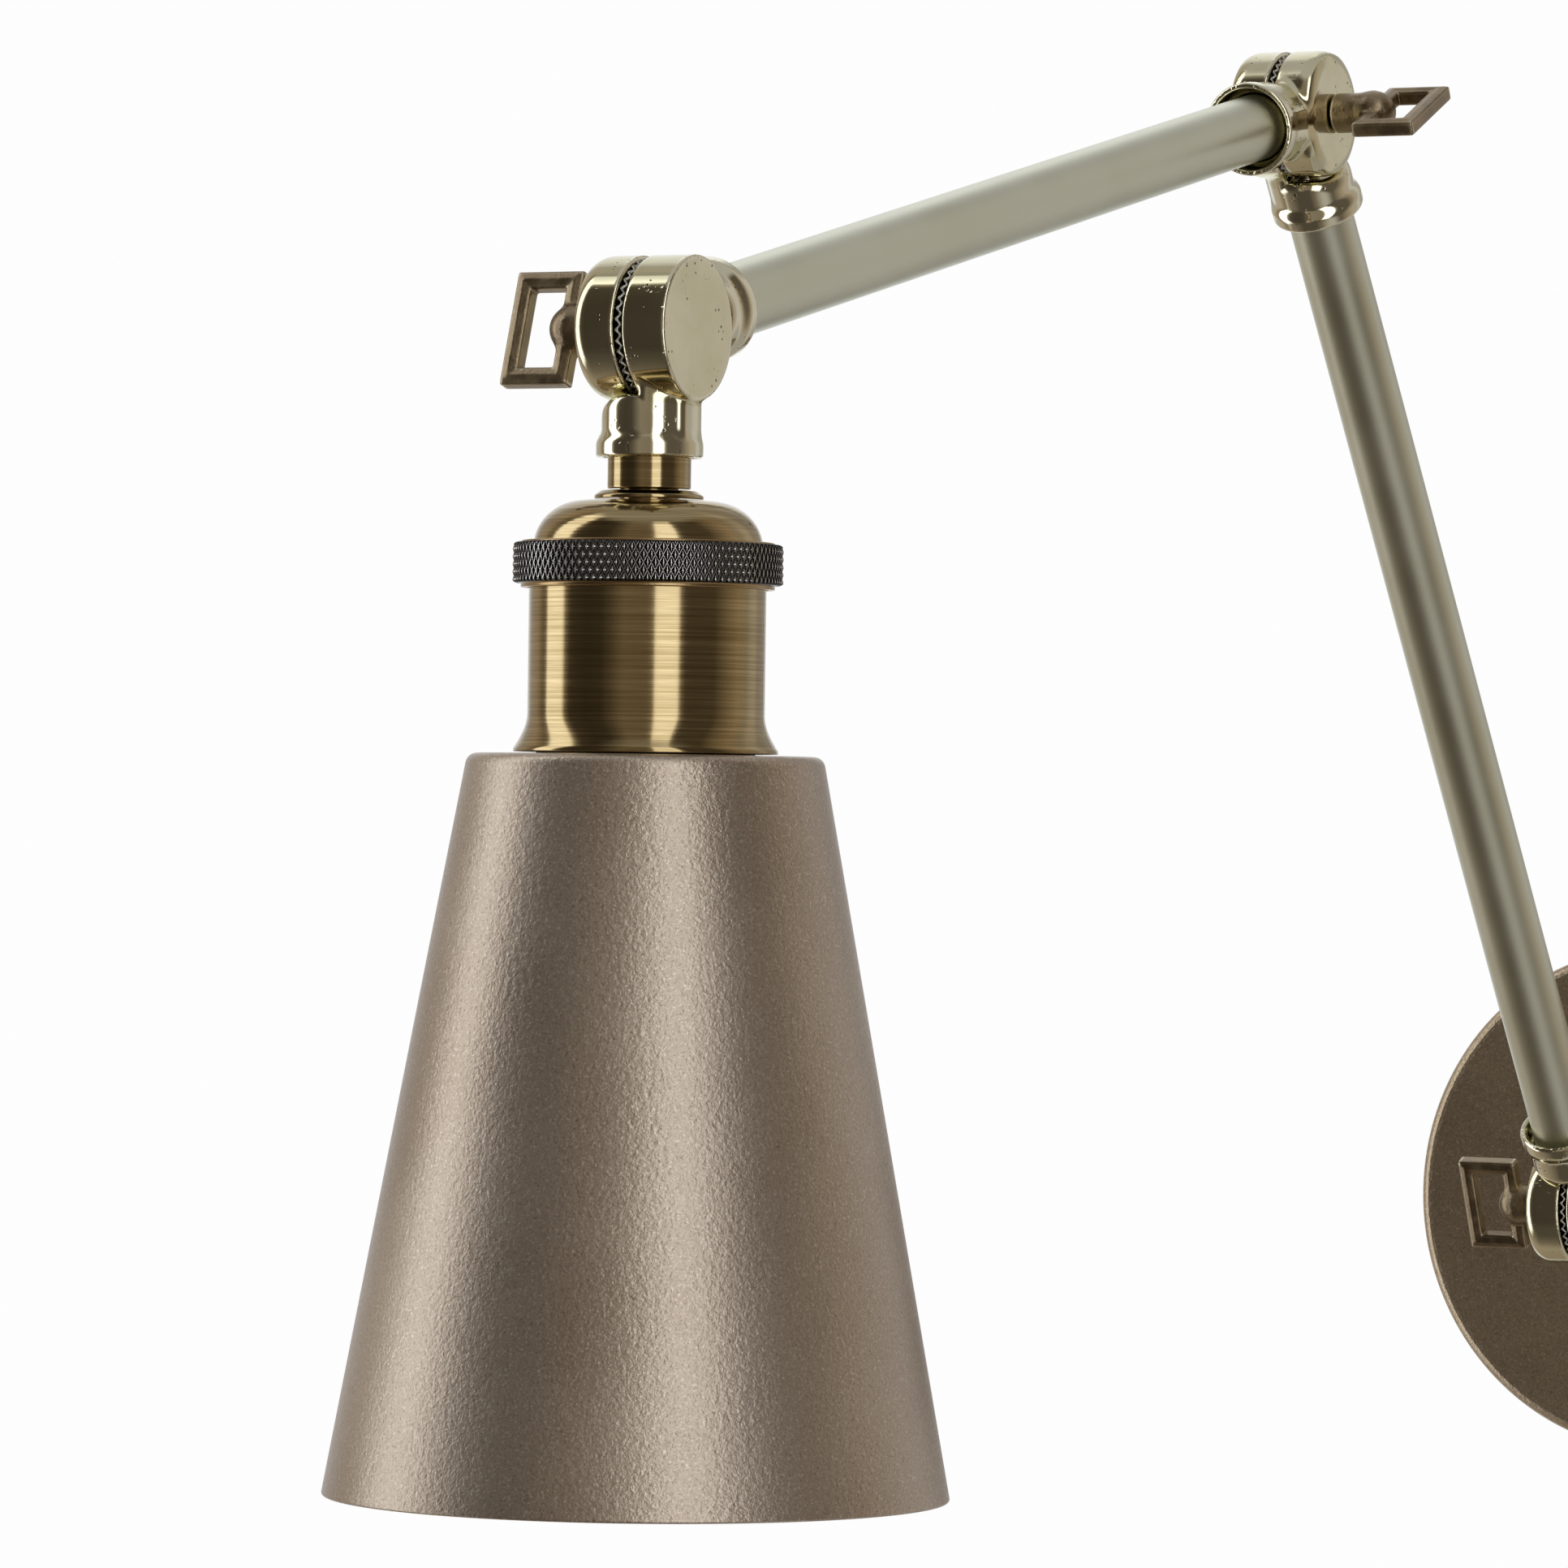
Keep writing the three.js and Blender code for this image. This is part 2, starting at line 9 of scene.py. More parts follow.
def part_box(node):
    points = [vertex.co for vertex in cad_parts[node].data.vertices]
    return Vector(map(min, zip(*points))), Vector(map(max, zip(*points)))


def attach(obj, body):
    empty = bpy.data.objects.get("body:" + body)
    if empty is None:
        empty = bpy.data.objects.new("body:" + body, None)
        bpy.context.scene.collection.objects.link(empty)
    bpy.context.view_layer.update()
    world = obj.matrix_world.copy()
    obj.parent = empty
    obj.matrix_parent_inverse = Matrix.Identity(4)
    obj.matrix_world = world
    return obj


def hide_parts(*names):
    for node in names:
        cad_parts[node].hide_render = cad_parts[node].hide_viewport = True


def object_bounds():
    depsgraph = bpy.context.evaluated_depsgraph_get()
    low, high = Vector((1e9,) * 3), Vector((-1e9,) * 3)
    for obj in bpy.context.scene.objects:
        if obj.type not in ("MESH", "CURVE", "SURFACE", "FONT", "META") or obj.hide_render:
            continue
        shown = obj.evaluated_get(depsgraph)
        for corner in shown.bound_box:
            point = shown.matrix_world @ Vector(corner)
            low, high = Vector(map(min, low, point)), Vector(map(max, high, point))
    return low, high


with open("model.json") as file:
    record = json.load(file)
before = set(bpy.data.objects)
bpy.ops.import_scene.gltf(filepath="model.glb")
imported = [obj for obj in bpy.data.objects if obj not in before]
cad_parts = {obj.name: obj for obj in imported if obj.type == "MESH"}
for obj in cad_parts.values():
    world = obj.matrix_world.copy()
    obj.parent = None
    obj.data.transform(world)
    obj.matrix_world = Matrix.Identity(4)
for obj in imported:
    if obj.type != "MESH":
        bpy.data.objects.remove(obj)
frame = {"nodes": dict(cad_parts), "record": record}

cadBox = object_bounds()
mm = 0.001
bpy.context.scene.view_settings.view_transform = "Standard"


def boxOf(node):
    # lowest and highest corner of a frame node, in millimetres
    low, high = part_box(node)
    return np.array(low) / mm, np.array(high) / mm


def spanOf(node):
    low, high = boxOf(node)
    return high - low


def spotsOf(node):
    # the corners of a frame node, in millimetres
    vertices = frame["nodes"][node].data.vertices
    spots = np.empty(len(vertices) * 3)
    vertices.foreach_get("co", spots)
    return spots.reshape(-1, 3) / mm


# The pivots, in millimetres, from the frame's own joints
jointAt = {joint["name"]: np.array(joint["pos_m"]) / mm for joint in frame["record"]["behaviour"]["joints"]}
wallPivot = jointAt["wall_tilt"]
elbowPivot = jointAt["elbow_fold"]
headPivot = jointAt["head_tilt"]


def localFrame(origin, direction):
    # local x stays along X, local z runs along the direction, and local y completes them
    z = np.array(direction, float)
    z /= np.linalg.norm(z)
    x = np.array([1.0, 0.0, 0.0])
    return np.array(origin, float), np.stack([x, np.cross(z, x), z])


stemFrame = localFrame(wallPivot, [0, 1, 0])
lowerFrame = localFrame(wallPivot, elbowPivot - wallPivot)
lowerEndFrame = localFrame(elbowPivot, wallPivot - elbowPivot)
upperFrame = localFrame(elbowPivot, headPivot - elbowPivot)
upperEndFrame = localFrame(headPivot, elbowPivot - headPivot)
headFrame = localFrame(headPivot, [0, 0, -1])
plateFrame = localFrame([0, 0, 0], [0, -1, 0])
print("frame read")

# Camera

camera = {
    "place": (0.6774, -1.7295, 0.0831), "turn": 27.625, "tilt": -0.161, "roll": 0.775,
    "lens": 191.8, "sensor": 36, "near": 0.05, "far": 50,
}


def cameraAxes():
    # right, up and forward of a camera turned about Z, tilted down, then rolled about its own axis
    turn, tilt, roll = (math.radians(camera[k]) for k in ("turn", "tilt", "roll"))
    right = np.array([math.cos(turn), math.sin(turn), 0])
    forward = np.array([-math.sin(turn) * math.cos(tilt), math.cos(turn) * math.cos(tilt), -math.sin(tilt)])
    up = np.cross(right, forward)
    rolledRight = right * math.cos(roll) + up * math.sin(roll)
    rolledUp = up * math.cos(roll) - right * math.sin(roll)
    return rolledRight, rolledUp, forward


def addCamera():
    data = bpy.data.cameras.new("camera")
    data.lens, data.sensor_width = camera["lens"], camera["sensor"]
    data.clip_start, data.clip_end = camera["near"], camera["far"]
    item = bpy.data.objects.new("camera", data)
    right, up, forward = cameraAxes()
    turn = Matrix((right, up, -forward)).transposed().to_4x4()
    item.matrix_world = Matrix.Translation(Vector(camera["place"])) @ turn
    bpy.context.scene.collection.objects.link(item)
    bpy.context.scene.camera = item


addCamera()


# Shader expressions

class Signal:
    # wraps an output socket, so that maths on it adds Math nodes
    def __init__(self, graph, socket):
        self.graph, self.socket = graph, socket

    def math(self, operation, *values):
        return self.graph.node("ShaderNodeMath", {"operation": operation}, dict(enumerate((self, *values))))

    def __add__(self, other):
        return self.math("ADD", other)

    def __sub__(self, other):
        return self.math("SUBTRACT", other)

    def __mul__(self, other):
        return self.math("MULTIPLY", other)

    def __truediv__(self, other):
        return self.math("DIVIDE", other)

    def __rsub__(self, other):
        return self.graph.wrap(other).math("SUBTRACT", self)

    def __lt__(self, other):
        return self.math("LESS_THAN", other)

    __radd__, __rmul__ = __add__, __mul__

    def ramp(self, low, high, toLow=0.0, toHigh=1.0):
        values = {"Value": self, "From Min": low, "From Max": high, "To Min": toLow, "To Max": toHigh}
        return self.graph.node("ShaderNodeMapRange", {"interpolation_type": "SMOOTHSTEP"}, values)


class Graph:
    # a node tree that is written as expressions
    def __init__(self, tree):
        self.tree = tree

    def node(self, kind, settings=None, values=None, output=0):
        item = self.tree.nodes.new(kind)
        for key, value in (settings or {}).items():
            if key == "stops":
                self.setStops(item.color_ramp, value)
            else:
                setattr(item, key, value)
        for key, value in (values or {}).items():
            socket = item.inputs[key]
            if isinstance(value, Signal):
                self.tree.links.new(value.socket, socket)
            else:
                socket.default_value = value
        return Signal(self, item.outputs[output])

    def wrap(self, number):
        item = self.tree.nodes.new("ShaderNodeValue")
        item.outputs[0].default_value = number
        return Signal(self, item.outputs[0])

    def setStops(self, ramp, stops):
        while len(ramp.elements) < len(stops):
            ramp.elements.new(1.0)
        for element, (place, color) in zip(ramp.elements, stops):
            element.position = place
            element.color = (*color, 1)

    def mixColor(self, factor, first, second):
        # a Mix node takes its two colours at sockets 6 and 7 and gives the mixed one at 2
        values = {0: factor, 6: first, 7: second}
        for key in (6, 7):
            if not isinstance(values[key], Signal):
                values[key] = (*values[key], 1)
        return self.node("ShaderNodeMix", {"data_type": "RGBA"}, values, 2)

    def noise(self, place, scale, detail=2.0, roughness=0.5):
        values = {"Vector": place, "Scale": scale, "Detail": detail, "Roughness": roughness}
        return self.node("ShaderNodeTexNoise", {}, values)

    def bump(self, height, strength, distance):
        values = {"Height": height, "Strength": strength, "Distance": distance}
        return self.node("ShaderNodeBump", {}, values)

    def proud(self):
        # how far the skin stands proud, which the castings carry as an attribute; the clamp ring carries its
        # painted highlight lines, its wear and its lips in the same attribute
        return self.node("ShaderNodeAttribute", {"attribute_name": "proud"}, {}, 2)

    def stretched(self, place, scale, shift=(0, 0, 0)):
        # a Mapping node: moves the pattern to a place, then stretches it
        return self.node("ShaderNodeMapping", {}, {"Vector": place, "Scale": scale, "Location": shift})


finishes = {}


def finish(name, slot, base, metallic=1.0):
    # starts a material, and gives its graph, its shader and its Object coordinates
    material = bpy.data.materials.new(name)
    material.use_nodes = True
    tree = material.node_tree
    shader = tree.nodes["Principled BSDF"]
    shader.inputs["Base Color"].default_value = (*base, 1)
    shader.inputs["Metallic"].default_value = metallic
    finishes[name] = {"material": material, "slot": slot}
    graph = Graph(tree)
    place = graph.node("ShaderNodeTexCoord", {}, {}, 3)
    return graph, shader, place


def connect(graph, shader, color, roughness, normal):
    for label, signal in (("Base Color", color), ("Roughness", roughness), ("Normal", normal)):
        graph.tree.links.new(signal.socket, shader.inputs[label])


# Studio: light in bands round the lamp. A band is (angle, brightness, tint), with the angle measured from
# the camera's side: two upright soft boxes, a dark warm room in front and a white backdrop behind.
studio = {
    "level": [(-180, 1.0, "white"), (-164, 0.8, "white"), (-150, 0.44, "cool"), (-132, 0.46, "warm"),
              (-119, 0.2, "warm"), (-114, 0.35, "warm"), (-112, 1.9, "white"), (-90, 1.9, "white"),
              (-86, 0.3, "warm"), (-80, 0.075, "warm"), (-60, 0.055, "warm"), (-44, 0.065, "warm"),
              (-34, 0.13, "warm"), (-22, 0.25, "warm"), (2, 0.22, "warm"), (7, 0.35, "warm"),
              (9, 1.9, "white"), (31, 1.9, "white"), (33, 0.3, "warm"), (38, 0.1, "warm"),
              (70, 0.11, "warm"), (84, 0.27, "warm"), (100, 0.44, "warm"), (114, 0.42, "cool"),
              (122, 0.56, "cool"), (130, 0.56, "cool"), (137, 0.4, "cool"), (150, 0.38, "cool"),
              (164, 0.6, "white"), (172, 1.0, "white"), (180, 1.0, "white")],
    "low": [(-180, 0.3, "warm"), (-131, 0.36, "warm"), (-93, 0.18, "warm"), (-68, 0.085, "warm"),
            (-3, 0.085, "warm"), (20, 0.18, "warm"), (44, 0.45, "cool"), (60, 0.46, "cool"),
            (75, 0.36, "cool"), (180, 0.4, "cool")],
    "tints": {"warm": (1.0, 0.85, 0.68), "white": (0.98, 1.0, 1.03), "cool": (1.0, 0.96, 0.93)},
    "high": 0.45, "topFrom": 54, "topTo": 66, "lowFrom": -28, "lowTo": -44, "backdrop": 0.985,
    "floorDrop": 0.42, "floorSize": 2.0, "floorTone": 0.93,
}


def grey(level):
    return (level, level, level)


def bandStops(bands):
    # a band's colour is its tint times its brightness
    return [((angle + 180) / 360, tuple(np.array(studio["tints"][tint]) * b)) for angle, b, tint in bands]


def addStudio():
    world = bpy.data.worlds.new("studio")
    bpy.context.scene.world = world
    world.use_nodes = True
    graph = Graph(world.node_tree)
    right, _, forward = cameraAxes()
    direction = graph.node("ShaderNodeTexCoord", {}, {}, 0)

    def dot(vector):
        values = {0: direction, 1: tuple(vector)}
        return graph.node("ShaderNodeVectorMath", {"operation": "DOT_PRODUCT"}, values, 1)

    def flat(vector):
        return np.array([vector[0], vector[1], 0]) / math.hypot(vector[0], vector[1])

    toDegrees = math.degrees(1)
    angle = dot(flat(right)).math("ARCTAN2", dot(-flat(forward)))
    height = dot((0, 0, 1)).math("ARCSINE") * toDegrees
    share = (angle * toDegrees + 180) / 360
    level = graph.node("ShaderNodeValToRGB", {"stops": bandStops(studio["level"])}, {0: share})
    low = graph.node("ShaderNodeValToRGB", {"stops": bandStops(studio["low"])}, {0: share})
    sky = graph.mixColor(height.ramp(studio["topFrom"], studio["topTo"]), level, grey(studio["high"]))
    sky = graph.mixColor(height.ramp(studio["lowFrom"], studio["lowTo"]), sky, low)
    seen = graph.node("ShaderNodeLightPath", {}, {}, 0)
    shown = graph.mixColor(seen, sky, grey(studio["backdrop"]))
    background = world.node_tree.nodes["Background"]
    world.node_tree.links.new(shown.socket, background.inputs["Color"])


addStudio()

# Finishes: a scale is in waves per metre, rough is the roughness at the two ends of a pattern, and a bump
# is (strength, distance in metres)

bronze = {
    "base": (0.5, 0.42, 0.34), "dark": (0.5, 0.41, 0.325), "light": (0.56, 0.47, 0.38), "metallic": 0.85,
    "sparkle": (0.95, 0.86, 0.75), "deep": (0.25, 0.2, 0.15), "fleckShare": 0.55, "fleckRough": 0.05,
    "cloudScale": 22, "fleckScale": 2100, "peelScale": 1000, "rough": (0.3, 0.34), "bump": (0.3, 0.0005),
}


def bronzePaint(name, slot, shade):
    # satin champagne bronze paint: orange peel under a metallic fleck
    b = bronze
    graph, shader, place = finish(name, slot, b["base"], b["metallic"])
    cloud = graph.noise(place, b["cloudScale"], 3)
    fleck = graph.noise(place, b["fleckScale"], 2, 0.75)
    peel = graph.noise(place, b["peelScale"])
    tones = ("dark", "light", "sparkle", "deep")
    dark, light, sparkle, deep = (tuple(np.array(b[tone]) * np.array(shade)) for tone in tones)
    color = graph.mixColor(cloud.ramp(0.35, 0.65), dark, light)
    color = graph.mixColor(fleck.ramp(0.55, 0.7) * b["fleckShare"], color, sparkle)
    color = graph.mixColor(fleck.ramp(0.45, 0.3) * b["fleckShare"], color, deep)
    rough = cloud.ramp(0.3, 0.7, *b["rough"]) + fleck * b["fleckRough"]
    normal = graph.bump(peel * 0.7 + fleck * 0.5, *b["bump"])
    connect(graph, shader, color=color, roughness=rough, normal=normal)


pale = {
    "base": (0.66, 0.64, 0.5), "dark": (0.70, 0.70, 0.55), "light": (0.78, 0.78, 0.64), "cloudScale": 30,
    "grainScale": 1500, "rough": (0.3, 0.37), "grainRough": 0.05, "bump": (0.06, 0.0002),
}


def paleBrass():
    # satin antique brass on the tubes: a fine grain and soft clouding
    p = pale
    graph, shader, place = finish("paleBrass", "pale_brass", p["base"])
    cloud = graph.noise(place, p["cloudScale"], 3)
    grain = graph.noise(place, p["grainScale"], 2, 0.6)
    color = graph.mixColor(cloud.ramp(0.3, 0.7), p["dark"], p["light"])
    rough = cloud.ramp(0.3, 0.7, *p["rough"]) + grain * p["grainRough"]
    connect(graph, shader, color=color, roughness=rough, normal=graph.bump(grain, *p["bump"]))


polished = {
    "base": (0.74, 0.69, 0.53), "dark": (0.69, 0.645, 0.43), "light": (0.78, 0.73, 0.52),
    "hollow": (0.26, 0.19, 0.10), "edge": (0.9, 0.85, 0.68), "pit": (0.10, 0.08, 0.06),
    "hollowShadeShare": 0.75, "edgeShineShare": 0.5, "cloudScale": 90, "pitScale": 900, "patchScale": 260,
    "scratchScale": (300, 2600, 900), "rough": (0.07, 0.13), "scratchRough": 0.16, "bump": (0.3, 0.0002),
}


def polishedBrass():
    # polished casting: small pits, fine scratches and a cloudy lacquer, with a painted shade in its hollows
    # and a painted highlight on its proud edges
    p = polished
    graph, shader, place = finish("polishedBrass", "polished_brass", p["base"])
    cloud = graph.noise(place, p["cloudScale"], 3)
    pits = graph.node("ShaderNodeTexVoronoi", {}, {"Vector": place, "Scale": p["pitScale"]})
    where = graph.noise(place, p["patchScale"])
    pitMask = (1 - pits.ramp(0.12, 0.28)) * where.ramp(0.57, 0.65)
    scratch = graph.noise(graph.stretched(place, p["scratchScale"]), 1.0, 2, 0.6)
    scratchMask = scratch.ramp(0.62, 0.72) * where.ramp(0.45, 0.6)
    proudShine = graph.proud()
    color = graph.mixColor(cloud.ramp(0.3, 0.7), p["dark"], p["light"])
    # painted shade: the hollows of the casting darkened
    color = graph.mixColor(proudShine.ramp(-0.12, -0.6) * p["hollowShadeShare"], color, p["hollow"])
    # painted highlight: the proud edges lightened
    color = graph.mixColor(proudShine.ramp(0.08, 0.3) * p["edgeShineShare"], color, p["edge"])
    color = graph.mixColor(pitMask, color, p["pit"])
    rough = cloud.ramp(0.3, 0.7, *p["rough"]) + scratchMask * p["scratchRough"]
    normal = graph.bump(1 - pitMask + cloud * 0.25 - scratchMask * 0.1, *p["bump"])
    connect(graph, shader, color=color, roughness=rough, normal=normal)


cast = {
    "base": (0.4, 0.33, 0.25), "dark": (0.25, 0.19, 0.12), "light": (0.38, 0.30, 0.19),
    "hollow": (0.08, 0.06, 0.04), "edge": (0.72, 0.64, 0.5), "glint": (0.75, 0.68, 0.55),
    "hollowShadeShare": 0.7, "edgeShineShare": 0.8, "glintShare": 0.5, "grainScale": 1500, "cloudScale": 240,
    "rough": (0.28, 0.4), "bump": (0.5, 0.00018),
}


def castBrass():
    # dark antique casting with a grainy skin: its proud parts wear light and also carry a painted highlight,
    # its hollows a painted shade, and its grain painted glints
    c = cast
    graph, shader, place = finish("castBrass", "cast_brass", c["base"])
    grain = graph.noise(place, c["grainScale"], 3, 0.7)
    cloud = graph.noise(place, c["cloudScale"])
    proudShine = graph.proud()
    color = graph.mixColor(cloud.ramp(0.3, 0.7), c["dark"], c["light"])
    # painted shade: the hollows darkened
    color = graph.mixColor(proudShine.ramp(-0.1, -0.5) * c["hollowShadeShare"], color, c["hollow"])
    # the proud parts lightened: wear, and a painted highlight
    color = graph.mixColor(proudShine.ramp(0.1, 0.35) * c["edgeShineShare"], color, c["edge"])
    # painted glints on the grain
    color = graph.mixColor(grain.ramp(0.62, 0.75) * c["glintShare"], color, c["glint"])
    rough = cloud.ramp(0.3, 0.7, *c["rough"])
    connect(graph, shader, color=color, roughness=rough, normal=graph.bump(grain, *c["bump"]))


brushed = {
    "base": (0.6, 0.45, 0.24), "dark": (0.31, 0.23, 0.105), "light": (0.55, 0.43, 0.24),
    "band": (0.30, 0.23, 0.12), "bandShare": 0.25, "lineScale": (30, 30, 2800), "ringScale": (3, 3, 3600),
    "bandScale": (30, 30, 500), "rough": (0.08, 0.14), "bump": (0.05, 0.00003),
}


def brushedBrass():
    # antique brass turned and brushed on a lathe: fine rings round the upright axis of the head
    b = brushed
    graph, shader, place = finish("brushedBrass", "brushed_brass", b["base"])
    centred = graph.stretched(place, (1, 1, 1), (0, -headPivot[1] * mm, 0))
    lines = graph.noise(graph.stretched(centred, b["lineScale"]), 1.0, 4, 0.7)
    rings = graph.noise(graph.stretched(centred, b["ringScale"]), 1.0, 3, 0.7)
    bands = graph.noise(graph.stretched(centred, b["bandScale"]), 1.0)
    color = graph.mixColor(lines.ramp(0.3, 0.7), b["dark"], b["light"])
    color = graph.mixColor(bands.ramp(0.5, 0.75) * b["bandShare"], color, b["band"])
    rough = lines.ramp(0.3, 0.7, *b["rough"])
    connect(graph, shader, color=color, roughness=rough, normal=graph.bump(rings, *b["bump"]))


blackened = {
    "base": (0.05, 0.045, 0.04), "black": (0.018, 0.017, 0.016), "rubbedAndHighlight": (0.85, 0.83, 0.8),
    "lip": (0.42, 0.29, 0.14), "grainScale": 2500, "rough": (0.26, 0.2), "bump": (0.2, 0.0001),
}


def blackKnurl():
    # blackened brass, silver where the knurl's edges wear, with a painted highlight along its ridges and
    # groove lines, and left brass on its two lips
    b = blackened
    graph, shader, place = finish("blackKnurl", "black_knurl", b["base"])
    proudShine = graph.proud()
    grain = graph.noise(place, b["grainScale"])
    # painted highlight and wear: silver lines along the ridges and the groove lines
    edge = proudShine.ramp(0.15, 0.75) * grain.ramp(0.25, 0.5, 0.4, 1.0)
    color = graph.mixColor(edge, b["black"], b["rubbedAndHighlight"])
    color = graph.mixColor(proudShine < -0.5, color, b["lip"])
    rough = edge.ramp(0, 1, *b["rough"])
    connect(graph, shader, color=color, roughness=rough, normal=graph.bump(grain, *b["bump"]))


plain = {
    "metal": {"scale": 400, "from": 0.3, "to": 0.7, "spread": 0.1, "bump": (0.1, 0.0001)},
    "plastic": {"scale": 700, "from": 0.2, "to": 0.8, "spread": 0.12, "bump": (0.15, 0.0001)},
}


def plainFinish(kind, name, slot, dark, light, roughness, metallic):
    # one cloudy colour for the small parts and the hidden ones
    p = plain[kind]
    graph, shader, place = finish(name, slot, dark, metallic)
    cloud = graph.noise(place, p["scale"], 3, 0.6)
    color = graph.mixColor(cloud.ramp(0.3, 0.7), dark, light)
    rough = cloud.ramp(p["from"], p["to"], roughness, roughness + p["spread"])
    connect(graph, shader, color=color, roughness=rough, normal=graph.bump(cloud, *p["bump"]))


bronzePaint("bronzePaint", "bronze_paint", (1.0, 1.0, 1.0))
bronzePaint("darkBronze", "dark_bronze_paint", (0.97, 0.93, 0.8))
paleBrass()
polishedBrass()
castBrass()
brushedBrass()
blackKnurl()
plainFinish("metal", "zincSteel", "zinc_steel", (0.42, 0.41, 0.38), (0.55, 0.54, 0.5), 0.34, 1.0)
plainFinish("metal", "contactBrass", "contact_brass", (0.7, 0.5, 0.26), (0.8, 0.6, 0.34), 0.22, 1.0)
plainFinish("plastic", "phenolic", "phenolic", (0.02, 0.018, 0.016), (0.035, 0.03, 0.026), 0.4, 0.0)
plainFinish("plastic", "earthGreen", "earth_green", (0.05, 0.28, 0.1), (0.08, 0.34, 0.14), 0.35, 0.4)
plainFinish("plastic", "sleeveBlack", "sleeve_black", (0.015, 0.015, 0.015), (0.03, 0.03, 0.03), 0.5, 0.0)
plainFinish("plastic", "sleeveWhite", "sleeve_white", (0.72, 0.71, 0.68), (0.8, 0.79, 0.76), 0.45, 0.0)
plainFinish("plastic", "orangeCap", "orange_cap", (0.72, 0.26, 0.05), (0.8, 0.32, 0.08), 0.4, 0.0)
print("finishes made")


# Surfaces

weldSteps = 2e4     # corners on the same step are one corner, at this many steps to a millimetre


def makePiece(name, points, faces, place, look, body, replaced, values=None):
    # points (n, 3) in millimetres in a local frame, faces (m, 4) as corner numbers. Corners that meet are
    # welded, so a row of points at a pole becomes one point and its faces become triangles.
    origin, axes = place
    flat = origin + points.reshape(-1, 3) @ axes
    steps = np.round(flat * weldSteps).astype(np.int64)
    _, first, back = np.unique(steps, axis=0, return_index=True, return_inverse=True)
    corners = flat[first] * mm
    faces = back.reshape(-1)[faces]
    same = faces == np.roll(faces, -1, axis=1)
    quads = faces[same.sum(1) == 0]
    quads = quads[(quads[:, 0] != quads[:, 2]) & (quads[:, 1] != quads[:, 3])]
    single = same.sum(1) == 1
    triangles = faces[single][~same[single]].reshape(-1, 3)
    fan = np.concatenate([quads[:, :3], quads[:, [0, 2, 3]], triangles])
    a, b, c = (corners[fan[:, k]] for k in range(3))
    if np.einsum("ij,ij->i", a, np.cross(b, c)).sum() < 0:
        quads, triangles = quads[:, ::-1], triangles[:, ::-1]
    mesh = bpy.data.meshes.new(name)
    mesh.vertices.add(len(corners))
    mesh.vertices.foreach_set("co", corners.ravel())
    loops = np.concatenate([quads.ravel(), triangles.ravel()])
    totals = np.concatenate([np.full(len(quads), 4), np.full(len(triangles), 3)])
    mesh.loops.add(len(loops))
    mesh.loops.foreach_set("vertex_index", loops.astype(np.int32))
    mesh.polygons.add(len(totals))
    starts = np.concatenate([[0], np.cumsum(totals)[:-1]])
    mesh.polygons.foreach_set("loop_start", starts.astype(np.int32))
    mesh.polygons.foreach_set("loop_total", totals.astype(np.int32))
    mesh.polygons.foreach_set("use_smooth", np.ones(len(totals), bool))
    mesh.update(calc_edges=True)
    if values is not None:
        proud = mesh.attributes.new("proud", "FLOAT", "POINT")
        proud.data.foreach_set("value", values.ravel()[first].astype(np.float32))
    mesh.materials.append(finishes[look]["material"])
    item = bpy.data.objects.new(name, mesh)
    bpy.context.scene.collection.objects.link(item)
    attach(item, body)
    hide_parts(*replaced)


def gridFaces(rows, columns, closeRows=False):
    # corner numbers of the quads of a grid of points whose columns close on themselves
    r, c = np.meshgrid(np.arange(rows if closeRows else rows - 1), np.arange(columns), indexing="ij")
    r2, c2 = (r + 1) % rows, (c + 1) % columns
    quads = [r * columns + c, r * columns + c2, r2 * columns + c2, r2 * columns + c]
    return np.stack(quads, -1).reshape(-1, 4)


rounding = {"hold": 0.12, "arcSteps": 7, "straight": 1.565}


def outline(corners, closed=False, hold=rounding["hold"]):
    # a profile of (radius, height, rounding) corners: each rounding becomes an arc that touches both sides,
    # and each straight side gets a point near both of its ends, so that shading stays flat between them
    spots = [np.array(c[:2], float) for c in corners]
    rounds = [c[2] if len(c) > 2 else 0.0 for c in corners]
    count = len(spots)
    share = np.linspace(0, 1, rounding["arcSteps"])[:, None]
    path = []
    for i, (spot, radius) in enumerate(zip(spots, rounds)):
        if not closed and i in (0, count - 1):
            path.append(spot[None])
            continue
        into, away = spots[i - 1] - spot, spots[(i + 1) % count] - spot
        into, away = into / np.linalg.norm(into), away / np.linalg.norm(away)
        half = math.acos(np.clip(into @ away, -1, 1)) / 2
        if radius <= 0 or half > rounding["straight"]:
            path.append(spot[None])
            continue
        reach = radius / math.tan(half)
        start, end = spot + into * reach, spot + away * reach
        middle = spot + (into + away) / np.linalg.norm(into + away) * radius / math.sin(half)
        first, last = start - middle, end - middle
        sweep = math.pi - 2 * half
        arc = np.sin((1 - share) * sweep) * first + np.sin(share * sweep) * last
        path.append(middle + arc / math.sin(sweep))
    line = np.concatenate(path)
    steps = np.diff(np.concatenate([line, line[:1]]) if closed else line, axis=0)
    length = np.linalg.norm(steps, axis=1)
    keep = length > 1e-6
    held = []
    for start, step, size in zip(line[:len(steps)][keep], steps[keep], length[keep]):
        held.append(start[None])
        if size > 4 * hold:
            held.append(start + step / size * np.array([[hold], [size - hold]]))
    if not closed:
        held.append(line[-1:])
    return np.concatenate(held)


def turnedPoints(profile, steps):
    # a profile turned about local z: (r cos t, r sin t, z)
    t = np.arange(steps) * 2 * math.pi / steps
    r, z = profile[:, 0:1], profile[:, 1:2]
    return np.stack([r * np.cos(t), r * np.sin(t), z + 0 * t], -1)


